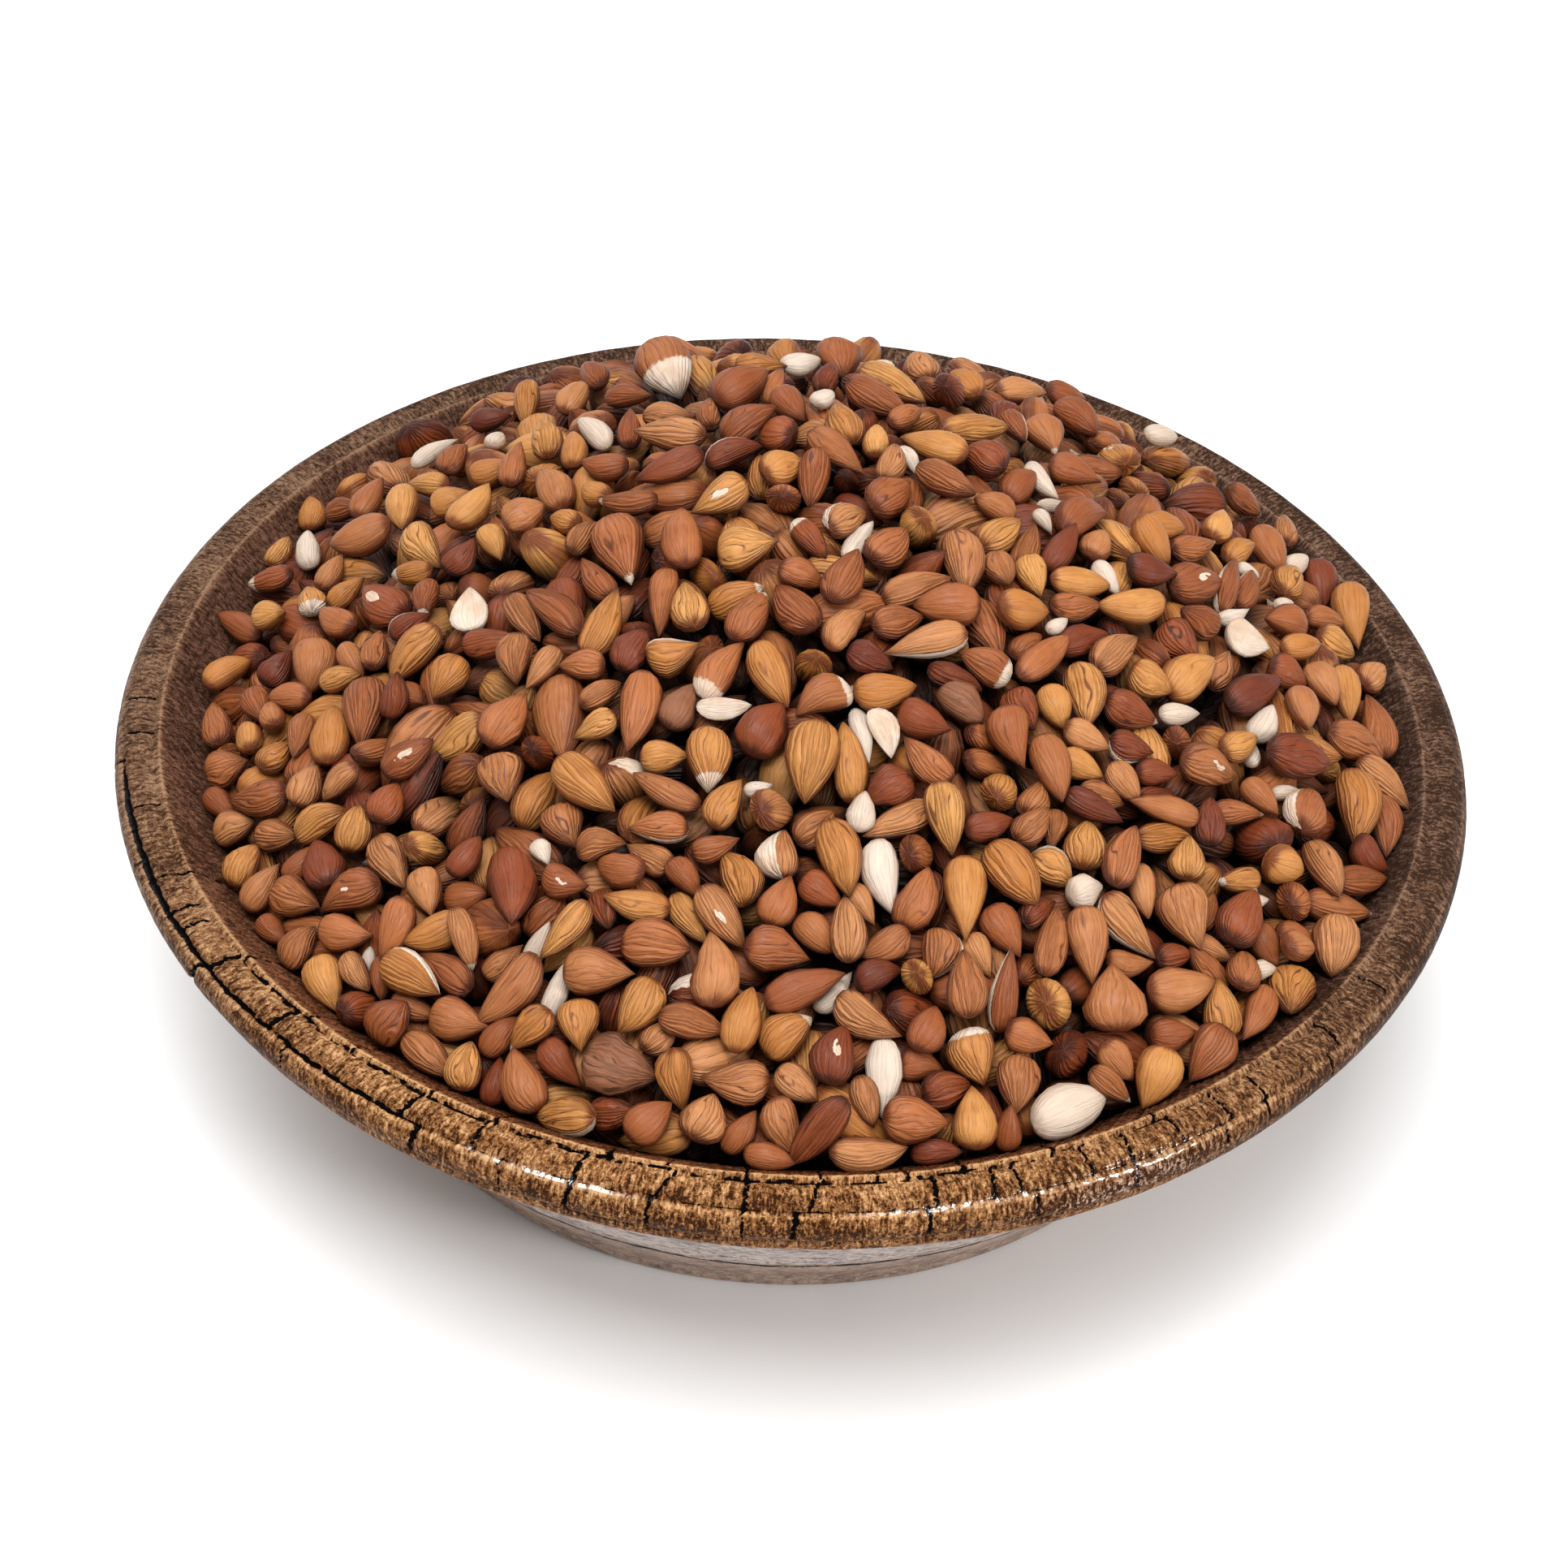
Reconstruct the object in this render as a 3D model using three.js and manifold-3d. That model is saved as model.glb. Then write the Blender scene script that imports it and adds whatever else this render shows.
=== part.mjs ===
// A round glazed stoneware bowl, heaped with small brown-skinned almond kernels.
// Millimetres, +Z up. The origin is the middle of the bowl's foot, on the surface it stands on.
// -Y is the front, where the heap is lowest; the heap rises towards the back right.
import * as THREE from "three";
import { mergeVertices } from "three/addons/utils/BufferGeometryUtils.js";
import Module from "manifold-3d";

// Driving dimensions of the bowl.
const RIM_RADIUS = 115; // the widest circle, on the outside of the rolled rim
const RIM_HEIGHT = 61; // top of the rim's inner bead
const RIM_BAND = 5.9; // width of the flat band on top of the rim
const ROLL_HEIGHT = 7.7; // height of the rolled outer edge
const LIP_HEIGHT = 3.6; // small upright lip under the roll
const WALL = 7; // thickness of the wall
const FOOT_RADIUS = 77.5;
const FOOT_WIDTH = 8;
const FOOT_RECESS = 3; // how far the base stands above the foot ring's face
const FLOOR = 9; // height of the inside floor
const BEVEL_DROP = 7.5; // the inside of the rim slopes down at 45 degrees this far
const BOWL_SIDES = 48;

// Driving dimensions of the heap.
const GAP = 0.4; // clearance between the heap and the bowl
const CONTACT_HEIGHT = 59.6; // mean height of the kernels' tops where the heap ends at the rim
const CONTACT_SWING = 2.9; // the heap's edge is this much higher at the back right
const CONTACT_SADDLE = 1.5; // and this much higher at the front and the back than at the sides
const HIGH_SIDE = THREE.MathUtils.degToRad(56); // direction of the high edge, from +X towards +Y
const APEX = new THREE.Vector3(3, 14, 101); // top of the mound
const MOUND_POWER = 1.75; // 1 is a cone, 2 a parabola
const CORE_DEPTH = 4.1; // the core lies this far under the tops of the kernels
const CORE_SIDES = 32;

// Driving dimensions of a kernel.
const KERNEL = { length: 11.6, width: 7.3, thickness: 6.0 };
const KERNEL_SIDES = 5;
const KERNEL_COUNT = 176;
const SIZE_SPREAD = 0.14; // a kernel's size varies by this share
const UPRIGHT_SHARE = 0.12; // share of the kernels that stand on end
const EDGE_SHARE = 0.97; // the outermost kernels lie at this share of the way to the wall
const SEED = 20417;

const bevelFoot = { r: RIM_RADIUS - 7.8 - BEVEL_DROP, z: RIM_HEIGHT - BEVEL_DROP };
const beadRadius = RIM_RADIUS - 7.8;

// Outline of the bowl's section from the middle of the base, out and up, over the rim and down to the inside floor.
function bowlProfile() {
  const shoulder = beadRadius + RIM_BAND;
  const rollFoot = RIM_HEIGHT - 0.5 - ROLL_HEIGHT;
  const lipFoot = rollFoot - LIP_HEIGHT;
  const footInner = FOOT_RADIUS - FOOT_WIDTH;
  return [
    [0, FOOT_RECESS],
    [footInner - 1.5, FOOT_RECESS],
    [footInner, 0],
    [FOOT_RADIUS - 1.5, 0],
    [FOOT_RADIUS, 1.2],
    [FOOT_RADIUS + 1, 4],
    [84.5, 14],
    [92.4, 26.5],
    [100.2, 38],
    [107.4, 46.9],
    [109.4, lipFoot - 0.6],
    [RIM_RADIUS - 2.9, lipFoot + 0.7],
    [RIM_RADIUS - 2.1, rollFoot],
    [RIM_RADIUS - 2.6, rollFoot + 0.4],
    ...arc(RIM_RADIUS - 3.6, rollFoot + 3.6, 3.6, -52, 60, 4),
    [shoulder, RIM_HEIGHT - 0.5],
    [shoulder - 1.2, RIM_HEIGHT - 0.25],
    [beadRadius + 1.5, RIM_HEIGHT - 0.15],
    [beadRadius + 0.9, RIM_HEIGHT - 0.9],
    [beadRadius + 0.4, RIM_HEIGHT - 0.1],
    [beadRadius, RIM_HEIGHT],
    [beadRadius - 0.8, RIM_HEIGHT - 0.35],
    [bevelFoot.r, bevelFoot.z],
    ...innerWall(),
    [0, FLOOR],
  ];
}

// Points of a circle's arc in the section, angles in degrees from the outward direction.
function arc(r, z, radius, from, to, steps) {
  const points = [];
  for (let i = 0; i <= steps; i++) {
    const angle = THREE.MathUtils.degToRad(from + ((to - from) * i) / steps);
    points.push([r + radius * Math.cos(angle), z + radius * Math.sin(angle)]);
  }
  return points;
}

// The inside of the bowl below the bevel: the wall curves down to the floor.
function innerWall() {
  const curve = new THREE.CubicBezierCurve(
    new THREE.Vector2(bevelFoot.r, bevelFoot.z),
    new THREE.Vector2(bevelFoot.r - WALL, bevelFoot.z - 12),
    new THREE.Vector2(78, FLOOR + 3),
    new THREE.Vector2(58, FLOOR),
  );
  return curve.getPoints(5).slice(1).map((p) => [p.x, p.y]);
}

function bowlGeometry() {
  const points = bowlProfile().map(([r, z]) => new THREE.Vector2(r, z));
  return new THREE.LatheGeometry(points, BOWL_SIDES).rotateX(Math.PI / 2);
}

// Height of the heap's edge, in a direction from the bowl's axis.
function contactHeight(direction) {
  const swing = CONTACT_SWING * Math.cos(direction - HIGH_SIDE);
  const saddle = -CONTACT_SADDLE * Math.cos(2 * direction);
  return CONTACT_HEIGHT + swing + saddle;
}

// Radius left inside the bowl at a height, with the clearance and the flats of its sides taken off.
// Above the rim the limit widens at 45 degrees, so a kernel can lean over the bead.
function insideRadius(height) {
  const z = height - GAP;
  const flats = Math.cos(Math.PI / BOWL_SIDES);
  const wall = [[beadRadius, RIM_HEIGHT], [bevelFoot.r, bevelFoot.z], ...innerWall()];
  if (z >= RIM_HEIGHT) return beadRadius * flats + (z - RIM_HEIGHT) - GAP;
  for (let i = 1; i < wall.length; i++) {
    const [r0, z0] = wall[i - 1];
    const [r1, z1] = wall[i];
    if (z >= z1) return (r1 + ((r0 - r1) * (z - z1)) / (z0 - z1)) * flats - GAP;
  }
  return 0;
}

// A point of the heap's surface: share is 0 at the top and 1 at the wall, along a direction from the top.
function moundPoint(share, direction) {
  const u = Math.cos(direction);
  const v = Math.sin(direction);
  const reach = (radius) => {
    const b = APEX.x * u + APEX.y * v;
    return -b + Math.sqrt(b * b + radius * radius - APEX.x ** 2 - APEX.y ** 2);
  };
  let edge = reach(bevelFoot.r);
  let z = CONTACT_HEIGHT;
  for (let i = 0; i < 3; i++) {
    z = contactHeight(Math.atan2(APEX.y + edge * v, APEX.x + edge * u));
    edge = reach(Math.min(insideRadius(z), beadRadius + 1));
  }
  const height = z + (APEX.z - z) * (1 - share ** MOUND_POWER);
  return new THREE.Vector3(APEX.x + share * edge * u, APEX.y + share * edge * v, height);
}

function moundNormal(share, direction) {
  const step = 0.01;
  const out = moundPoint(share + step, direction).sub(moundPoint(share, direction));
  const round = moundPoint(share, direction + step).sub(moundPoint(share, direction));
  return out.cross(round).normalize();
}

// The core: the mound lowered by the core's depth, and below it the bowl's inside down to the floor.
function coreGeometry() {
  const shares = [0, 0.14, 0.29, 0.44, 0.59, 0.73, 0.87, 1];
  const heights = [52, 45, 34, 22, 13];
  const section = [];
  shares.forEach((s) => section.push(new THREE.Vector2(s, 1)));
  heights.forEach((z) => section.push(new THREE.Vector2(insideRadius(z), z)));
  section.push(new THREE.Vector2(insideRadius(FLOOR + 2 * GAP), FLOOR + 2 * GAP));
  section.push(new THREE.Vector2(0, FLOOR + 2 * GAP));
  const geometry = new THREE.LatheGeometry(section.reverse(), CORE_SIDES).rotateX(Math.PI / 2);
  const place = geometry.getAttribute("position");
  const point = new THREE.Vector3();
  for (let i = 0; i < place.count; i++) {
    point.fromBufferAttribute(place, i);
    if (point.z > 2) continue;
    const share = Math.hypot(point.x, point.y);
    const direction = share > 0 ? Math.atan2(point.y, point.x) : 0;
    point.copy(moundPoint(share, direction));
    point.z -= CORE_DEPTH;
    const pull = Math.min(1, insideRadius(point.z) / Math.max(1, Math.hypot(point.x, point.y)));
    place.setXYZ(i, point.x * pull, point.y * pull, point.z);
  }
  return geometry;
}

// A kernel along +X: blunt at the back, widest before the middle, pointed in front.
function kernelGeometry() {
  const stations = [
    [-0.5, 0],
    [-0.38, 0.68],
    [-0.1, 1],
    [0.24, 0.66],
    [0.5, 0],
  ];
  const points = stations.map(([along, width]) => new THREE.Vector2(width / 2, along));
  const geometry = new THREE.LatheGeometry(points, KERNEL_SIDES).rotateZ(-Math.PI / 2);
  return geometry.scale(KERNEL.length, KERNEL.width, KERNEL.thickness);
}

// A repeatable random number from 0 to 1 at each call.
function seededRandom(seed) {
  let state = seed;
  return () => {
    state = (state * 1664525 + 1013904223) % 4294967296;
    return state / 4294967296;
  };
}

// How far a kernel reaches into the bowl's wall.
function reachIntoWall(geometry) {
  const place = geometry.getAttribute("position");
  let most = -Infinity;
  for (let i = 0; i < place.count; i++) {
    const radius = Math.hypot(place.getX(i), place.getY(i));
    most = Math.max(most, radius - insideRadius(place.getZ(i)));
  }
  return most;
}

// The kernels that show, spread evenly over the mound as the seeds of a sunflower are.
function kernels() {
  const random = seededRandom(SEED);
  const blank = kernelGeometry();
  const goldenAngle = Math.PI * (3 - Math.sqrt(5));
  const laid = [];
  for (let i = 0; i < KERNEL_COUNT; i++) {
    const share = EDGE_SHARE * Math.sqrt((i + 0.5) / KERNEL_COUNT);
    const direction = i * goldenAngle;
    const normal = moundNormal(share, direction);
    const size = 1 + SIZE_SPREAD * (2 * random() - 1);
    const upright = random() < UPRIGHT_SHARE;
    const tilt = upright ? 1.1 : 0.45 * (random() - 0.5);
    const turn = new THREE.Quaternion()
      .setFromUnitVectors(new THREE.Vector3(0, 0, 1), normal)
      .multiply(new THREE.Quaternion().setFromEuler(new THREE.Euler(0.5 * (random() - 0.5), tilt, 0, "YXZ")));
    turn.premultiply(new THREE.Quaternion().setFromAxisAngle(normal, 2 * Math.PI * random()));
    const depth = (KERNEL.thickness / 2) * size + 0.7 * (random() - 0.5);
    const centre = moundPoint(share, direction).addScaledVector(normal, -depth);
    const matrix = new THREE.Matrix4().compose(centre, turn, new THREE.Vector3(size, size, size));
    const kernel = blank.clone().applyMatrix4(matrix);
    const over = reachIntoWall(kernel);
    if (over > 0) {
      const inward = new THREE.Vector3(-centre.x, -centre.y, 0).setLength(over * 0.75);
      kernel.translate(inward.x, inward.y, over * 0.4);
    }
    if (reachIntoWall(kernel) <= 0) laid.push(kernel);
  }
  return laid;
}

const wasm = await Module();
wasm.setup();

function solidOf(geometry) {
  const bare = new THREE.BufferGeometry();
  bare.setAttribute("position", geometry.getAttribute("position"));
  bare.setIndex(geometry.getIndex());
  const merged = mergeVertices(bare, 1e-4);
  return new wasm.Manifold(
    new wasm.Mesh({
      numProp: 3,
      vertProperties: new Float32Array(merged.getAttribute("position").array),
      triVerts: new Uint32Array(merged.getIndex().array),
    }),
  );
}

function geometryOf(solid) {
  const mesh = solid.getMesh();
  const geometry = new THREE.BufferGeometry();
  geometry.setAttribute("position", new THREE.BufferAttribute(new Float32Array(mesh.vertProperties), 3));
  geometry.setIndex(new THREE.BufferAttribute(new Uint32Array(mesh.triVerts), 1));
  geometry.computeVertexNormals();
  return geometry;
}

// The core and its kernels as one solid. Fusing can seal small hollows or leave scraps: only the outer shell is kept.
function heapGeometry() {
  const joined = wasm.Manifold.union([coreGeometry(), ...kernels()].map(solidOf));
  const shells = joined.decompose();
  shells.sort((a, b) => b.volume() - a.volume());
  return geometryOf(shells[0]);
}

function part(name, geometry, material) {
  const mesh = new THREE.Mesh(geometry, material);
  mesh.name = name;
  return mesh;
}

const glaze = new THREE.MeshStandardMaterial({ color: 0x7a5527, roughness: 0.3, metalness: 0 });
const skin = new THREE.MeshStandardMaterial({ color: 0xb06a30, roughness: 0.65, metalness: 0 });

const bowlOfAlmonds = new THREE.Group();
bowlOfAlmonds.add(part("bowl", bowlGeometry(), glaze));
bowlOfAlmonds.add(part("almond_heap", heapGeometry(), skin));

export default bowlOfAlmonds;
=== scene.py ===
import math
import time

import bpy
import numpy as np
from mathutils import Matrix, Vector


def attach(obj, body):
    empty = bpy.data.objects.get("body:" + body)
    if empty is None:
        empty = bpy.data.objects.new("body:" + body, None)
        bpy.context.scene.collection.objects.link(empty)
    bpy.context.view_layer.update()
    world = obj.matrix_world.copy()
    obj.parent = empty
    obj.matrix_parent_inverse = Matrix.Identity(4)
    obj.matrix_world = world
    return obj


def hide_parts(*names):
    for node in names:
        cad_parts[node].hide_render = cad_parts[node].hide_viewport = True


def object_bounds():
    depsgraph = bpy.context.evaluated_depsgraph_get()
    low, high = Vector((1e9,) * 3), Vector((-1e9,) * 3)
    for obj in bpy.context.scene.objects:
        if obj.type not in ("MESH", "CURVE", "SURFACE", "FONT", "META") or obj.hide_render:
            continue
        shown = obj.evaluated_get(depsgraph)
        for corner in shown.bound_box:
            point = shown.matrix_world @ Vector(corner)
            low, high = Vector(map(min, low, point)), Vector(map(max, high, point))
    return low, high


startTime = time.time()
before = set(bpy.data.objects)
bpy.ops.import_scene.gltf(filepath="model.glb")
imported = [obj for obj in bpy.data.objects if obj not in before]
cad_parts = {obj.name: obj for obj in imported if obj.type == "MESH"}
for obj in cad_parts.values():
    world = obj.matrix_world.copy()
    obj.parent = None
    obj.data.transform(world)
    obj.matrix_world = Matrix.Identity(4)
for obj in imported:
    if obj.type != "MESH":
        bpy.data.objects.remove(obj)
boxBefore = [list(corner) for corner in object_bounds()]
print("frame loaded, box", boxBefore)


# camera: a pinhole fitted to the outline of the rim and the foot in the photograph

camera = {
    "distance": 600.0,  # from the aim point, mm
    "elevation": 41.22,  # degrees above the horizon
    "roll": -3.28,
    "aim": (-1.17, 10.36, 30.0),  # sideways, up the picture, and height of the plane it is measured from
    "focal": 4177.08,  # in pixels of the photograph
    "picture": (1932, 1924),
    "sensor": 36.0,
    "clip": (0.01, 20.0),  # metres
}


def unit(vectors):
    return vectors / np.linalg.norm(vectors, axis=-1, keepdims=True)


def cameraAxes():
    # right, up and back of the camera before its roll, with the elevation as the one turn
    tilt = math.radians(camera["elevation"])
    right = np.array([1.0, 0.0, 0.0])
    up = np.array([0.0, math.sin(tilt), math.cos(tilt)])
    back = np.array([0.0, -math.cos(tilt), math.sin(tilt)])
    return right, up, back


def cameraPlace():
    right, up, back = cameraAxes()
    side, rise, height = camera["aim"]
    return side * right + rise * up + np.array([0, 0, height]) + camera["distance"] * back


def photoRay(pixels):
    # unit directions from the camera through pixels of the photograph
    right, up, back = cameraAxes()
    roll = math.radians(camera["roll"])
    width, height = camera["picture"]
    a, b = pixels[:, 0] - width / 2, height / 2 - pixels[:, 1]
    u = a * math.cos(roll) + b * math.sin(roll)
    v = b * math.cos(roll) - a * math.sin(roll)
    return unit(u[:, None] * right + v[:, None] * up - camera["focal"] * back)


def screenAxes():
    # right and up in the picture, and back towards the camera
    right, up, back = cameraAxes()
    roll = math.radians(camera["roll"])
    across = math.cos(roll) * right - math.sin(roll) * up
    return across, math.sin(roll) * right + math.cos(roll) * up, back


def addCamera():
    data = bpy.data.cameras.new("camera")
    data.sensor_width = camera["sensor"]
    data.lens = camera["focal"] / camera["picture"][0] * data.sensor_width
    data.clip_start, data.clip_end = camera["clip"]
    holder = bpy.data.objects.new("camera", data)
    turn = Matrix(np.stack(screenAxes(), 1).tolist()).to_4x4()
    holder.matrix_world = Matrix.Translation((cameraPlace() / 1000).tolist()) @ turn
    bpy.context.scene.collection.objects.link(holder)
    bpy.context.scene.camera = holder


# shader maths: a wire is an output of a node, and ordinary operators add Math nodes

class Wire:
    def __init__(self, socket):
        self.socket = socket
        self.tree = socket.id_data

    def node(self, kind, settings=None, sockets=None, output=0):
        return addNode(self.tree, kind, settings, sockets, output)

    def maths(self, operation, *values):
        return self.node("ShaderNodeMath", {"operation": operation}, dict(enumerate(values)))

    def __add__(self, other):
        return self.maths("ADD", self, other)

    def __sub__(self, other):
        return self.maths("SUBTRACT", self, other)

    def __rsub__(self, other):
        return self.maths("SUBTRACT", other, self)

    def __mul__(self, other):
        return self.maths("MULTIPLY", self, other)

    def __truediv__(self, other):
        return self.maths("DIVIDE", self, other)

    def __abs__(self):
        return self.maths("ABSOLUTE", self)

    __radd__ = __add__
    __rmul__ = __mul__

    def larger(self, other):
        return self.maths("MAXIMUM", self, other)

    def ramp(self, low, high):
        # 0 at low, 1 at high, smooth between; high may be under low
        sockets = {"Value": self, "From Min": low, "From Max": high}
        return self.node("ShaderNodeMapRange", {"interpolation_type": "SMOOTHSTEP"}, sockets)

    def parts(self):
        return [self.node("ShaderNodeSeparateXYZ", None, {0: self}, n) for n in range(3)]

    def mixed(self, first, second):
        # a colour between two, with this wire as the share of the second
        sockets = {"Factor": self, "A": first, "B": second}
        return self.node("ShaderNodeMix", {"data_type": "RGBA"}, sockets, "Result")


def addNode(tree, kind, settings=None, sockets=None, output=0):
    # any node: settings first, then its sockets by name or number, as values or wires
    made = tree.nodes.new(kind)
    for name, value in (settings or {}).items():
        setattr(made, name, value)
    for name, value in (sockets or {}).items():
        socket = findSocket(made.inputs, name)
        if isinstance(value, Wire):
            tree.links.new(value.socket, socket)
        elif socket.type == "RGBA":
            socket.default_value = (*value[:3], 1.0)
        else:
            socket.default_value = value
    if not len(made.outputs):
        return made
    return Wire(findSocket(made.outputs, output))


def findSocket(sockets, name):
    if isinstance(name, int):
        return sockets[name]
    return next(s for s in sockets if s.name == name and s.enabled)


def combined(x, y, z):
    wire = next(w for w in (x, y, z) if isinstance(w, Wire))
    return wire.node("ShaderNodeCombineXYZ", None, {0: x, 1: y, 2: z})


def noise(vector, scale, detail=2.0, roughness=0.5, distortion=0.0):
    sockets = {"Vector": vector, "Scale": scale, "Detail": detail, "Roughness": roughness,
               "Distortion": distortion}
    return vector.node("ShaderNodeTexNoise", None, sockets)


def attribute(tree, name):
    return addNode(tree, "ShaderNodeAttribute", {"attribute_name": name}, None, "Vector")


def srgb(red, green, blue):
    # a colour as given for the screen, 0 to 255, in the linear numbers of a shader
    c = np.array([red, green, blue]) / 255.0
    return tuple(np.where(c <= 0.04045, c / 12.92, ((c + 0.055) / 1.055) ** 2.4).tolist())


def newMaterial(name):
    material = bpy.data.materials.new(name)
    material.use_nodes = True
    tree = material.node_tree
    tree.nodes.clear()
    return material, tree


def finishMaterial(tree, sockets, height=None, depth=0.0):
    # the surface shader, with a height field in metres as its bump
    if height is not None:
        bump = {"Height": height, "Distance": depth, "Strength": 1.0}
        sockets["Normal"] = height.node("ShaderNodeBump", None, bump)
    shader = addNode(tree, "ShaderNodeBsdfPrincipled", None, sockets)
    addNode(tree, "ShaderNodeOutputMaterial", None, {"Surface": shader})


# meshes

def addPiece(name, points, faces, material, attributes, node):
    # one piece at the origin: points in mm, faces as rows of four, attributes kept on its points
    mesh = bpy.data.meshes.new(name)
    mesh.vertices.add(len(points))
    mesh.vertices.foreach_set("co", (points / 1000).astype(np.float32).ravel())
    mesh.loops.add(faces.size)
    mesh.loops.foreach_set("vertex_index", faces.astype(np.int32).ravel())
    mesh.polygons.add(len(faces))
    mesh.polygons.foreach_set("loop_start", np.arange(0, faces.size, 4, dtype=np.int32))
    mesh.update(calc_edges=True)
    mesh.polygons.foreach_set("use_smooth", np.ones(len(faces), bool))
    for key, values in attributes.items():
        made = mesh.attributes.new(key, "FLOAT_VECTOR", "POINT")
        made.data.foreach_set("vector", values.astype(np.float32).ravel())
    mesh.materials.append(material)
    piece = bpy.data.objects.new(name, mesh)
    bpy.context.scene.collection.objects.link(piece)
    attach(piece, "root")
    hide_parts(node)
    print(f"{name}: {2 * len(faces)} triangles, {time.time() - startTime:.0f} s")
    return piece


def gridFaces(rows, columns, closed):
    # four-cornered faces of a grid of points, the last column joined to the first when closed
    row, column = np.meshgrid(np.arange(rows - 1), np.arange(columns - (not closed)), indexing="ij")
    after = (column + 1) % columns
    corners = [row * columns + column, row * columns + after,
               (row + 1) * columns + after, (row + 1) * columns + column]
    return np.stack(corners, -1).reshape(-1, 4)


# the bowl

bowl = {
    "rimRadius": 115.0,
    "beadRadius": 107.2,  # inner bead of the rim
    "rimHeight": 61.0,
    "bevelDrop": 7.5,  # the inside of the rim falls this far at 45 degrees
    "columnStep": 0.45,  # spacing of the mesh round the front half of the rim
    "rowStep": 0.42,
    "backStep": 1.3,
    "light": srgb(202, 157, 110),
    "middle": srgb(128, 84, 48),
    "dark": srgb(50, 26, 12),
    # dull colours: a duller glaze, greyed partly as painted reflection of the pale surroundings
    "dullAndSheen": srgb(104, 83, 74),
    "dullAndSheenDark": srgb(48, 34, 27),
    "inner": srgb(128, 77, 48),
    "crack": srgb(8, 6, 6),
    "speckSize": 0.85,  # mm
    "drawn": (1.5, 0.5),  # how closely the streaks follow each other round the rim and across it
    "lightRamp": (0.46, 0.64),  # levels of the mottling between which the glaze goes from middle to light
    "darkRamp": (0.485, 0.365),  # and from middle to dark
    "evenRamp": (0.36, 0.64),  # and from dark to light in the dull places and on the inside
    "wetRamp": (0.42, 0.5),  # and from dull to shiny
    "crackRamp": (0.4, 0.52),
    "roughness": 0.3,
    "reflection": 1.07,  # index of refraction under the shine, low because the glaze is dull where it is thin
    "coatReflection": 2.2,
    "coatRoughness": 0.13,
    "wrinkled": 0.07,
    "relief": 0.42,  # mm between the glaze's low and high places
}
wallLook = {
    "light": srgb(178, 150, 130),
    "middle": srgb(128, 100, 84),
    "dark": srgb(66, 46, 36),
    # pale grey of the smooth band: painted reflection of the pale floor
    "dullAndSheen": srgb(196, 184, 178),
    "speckSize": 1.2,
    "drawn": (0.5, 1.0),
    "reflection": 1.3,
    "wrinkled": 0.0,
    "relief": 0.26,
    "columns": 360,
    "rowStep": 0.9,
    "bandFoot": 15.6,  # height at which the smooth band, painted pale grey as a reflection of the floor, ends
    "crackHeight": 14.2,  # height of the crack that runs round the wall
}

# the rim's section, from the inner wall over the bead, the flat band and the rolled edge to the lip
rimSection = np.array([
    [97.0, 50.0], [98.6, 52.2], [100.6, 54.4], [103.4, 57.2], [105.9, 59.6], [106.8, 60.4],
    [107.3, 60.75], [107.9, 60.5], [108.5, 60.1], [109.1, 60.35], [109.9, 60.55], [111.4, 60.5],
    [112.7, 60.25], [113.3, 59.7], [114.1, 59.0], [114.75, 57.8], [114.9, 56.3], [114.6, 54.8],
    [113.7, 53.6], [112.9, 53.1], [112.9, 52.4], [112.7, 51.0], [112.1, 49.9], [110.8, 49.2],
    [109.0, 48.4], [107.0, 46.4],
])
wallSection = np.array([
    [109.4, 48.6], [107.4, 46.9], [103.8, 42.8], [100.2, 38.0], [96.3, 32.3], [92.4, 26.5], [88.4, 20.3],
    [84.7, 14.0], [81.2, 8.4], [78.8, 4.4], [77.9, 2.2], [77.4, 0.9], [76.5, 0.2], [75.3, 0.0],
    [70.7, 0.0], [69.7, 0.4], [69.1, 1.6], [68.1, 2.8], [66.5, 3.0], [40.0, 3.0], [0.02, 3.0],
])
insideSection = np.array([
    [0.02, 8.9], [30.0, 8.9], [56.0, 8.9], [66.0, 10.4], [75.0, 15.0], [83.0, 23.0], [90.0, 34.0],
    [94.5, 43.5], [97.0, 49.6], [98.8, 52.4],
])


def smoothCurve(points, step):
    # points spaced evenly along a smooth curve through the given ones, and the length at each: between two
    # points it is the cubic that keeps their places and their slopes
    gaps = np.linalg.norm(np.diff(points, axis=0), axis=1)
    length = np.concatenate([[0], np.cumsum(gaps)])
    slope = np.gradient(points, length, axis=0)
    s = np.linspace(0, length[-1], int(length[-1] / step) + 1)
    n = np.clip(np.searchsorted(length, s, side="right") - 1, 0, len(gaps) - 1)
    t = ((s - length[n]) / gaps[n])[:, None]
    h = gaps[n][:, None]
    curve = ((2 * t**3 - 3 * t**2 + 1) * points[n] + (t**3 - 2 * t**2 + t) * h * slope[n]
             + (3 * t**2 - 2 * t**3) * points[n + 1] + (t**3 - t**2) * h * slope[n + 1])
    return curve, s


def waves(values, periods, seed):
    # a smooth random curve: the mean of sines with about the given periods and seeded phases, between -1 and
    # 1; whole waves go round the rim, so that there is no seam at the back
    ring = 2 * np.pi * bowl["rimRadius"]
    periods = [ring / round(ring / p) for p in periods]
    phases = np.random.default_rng(seed).uniform(0, 2 * np.pi, len(periods))
    return sum(np.sin(2 * np.pi * values / p + f) for p, f in zip(periods, phases)) / len(periods)


def dip(offset, width):
    # 1 at no offset, falling off as a bell
    return np.exp(-((offset / width) ** 2))


turnEnd = 400  # degrees, beyond any place round the rim
sectionEnd = 60  # mm, beyond any place along the section


def between(values, low, high, soft):
    # 1 between two limits and 0 outside, with soft shoulders
    return 1 / (1 + np.exp(-(values - low) / soft)) / (1 + np.exp((values - high) / soft))


# lengths along the section at which the rim's parts begin
rimParts = {
    "wall": 5.0, "ridge": 14.9, "groove": 15.9, "shoulder": 21.5, "rollMiddle": 23.2, "rollFoot": 29.4,
}

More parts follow.
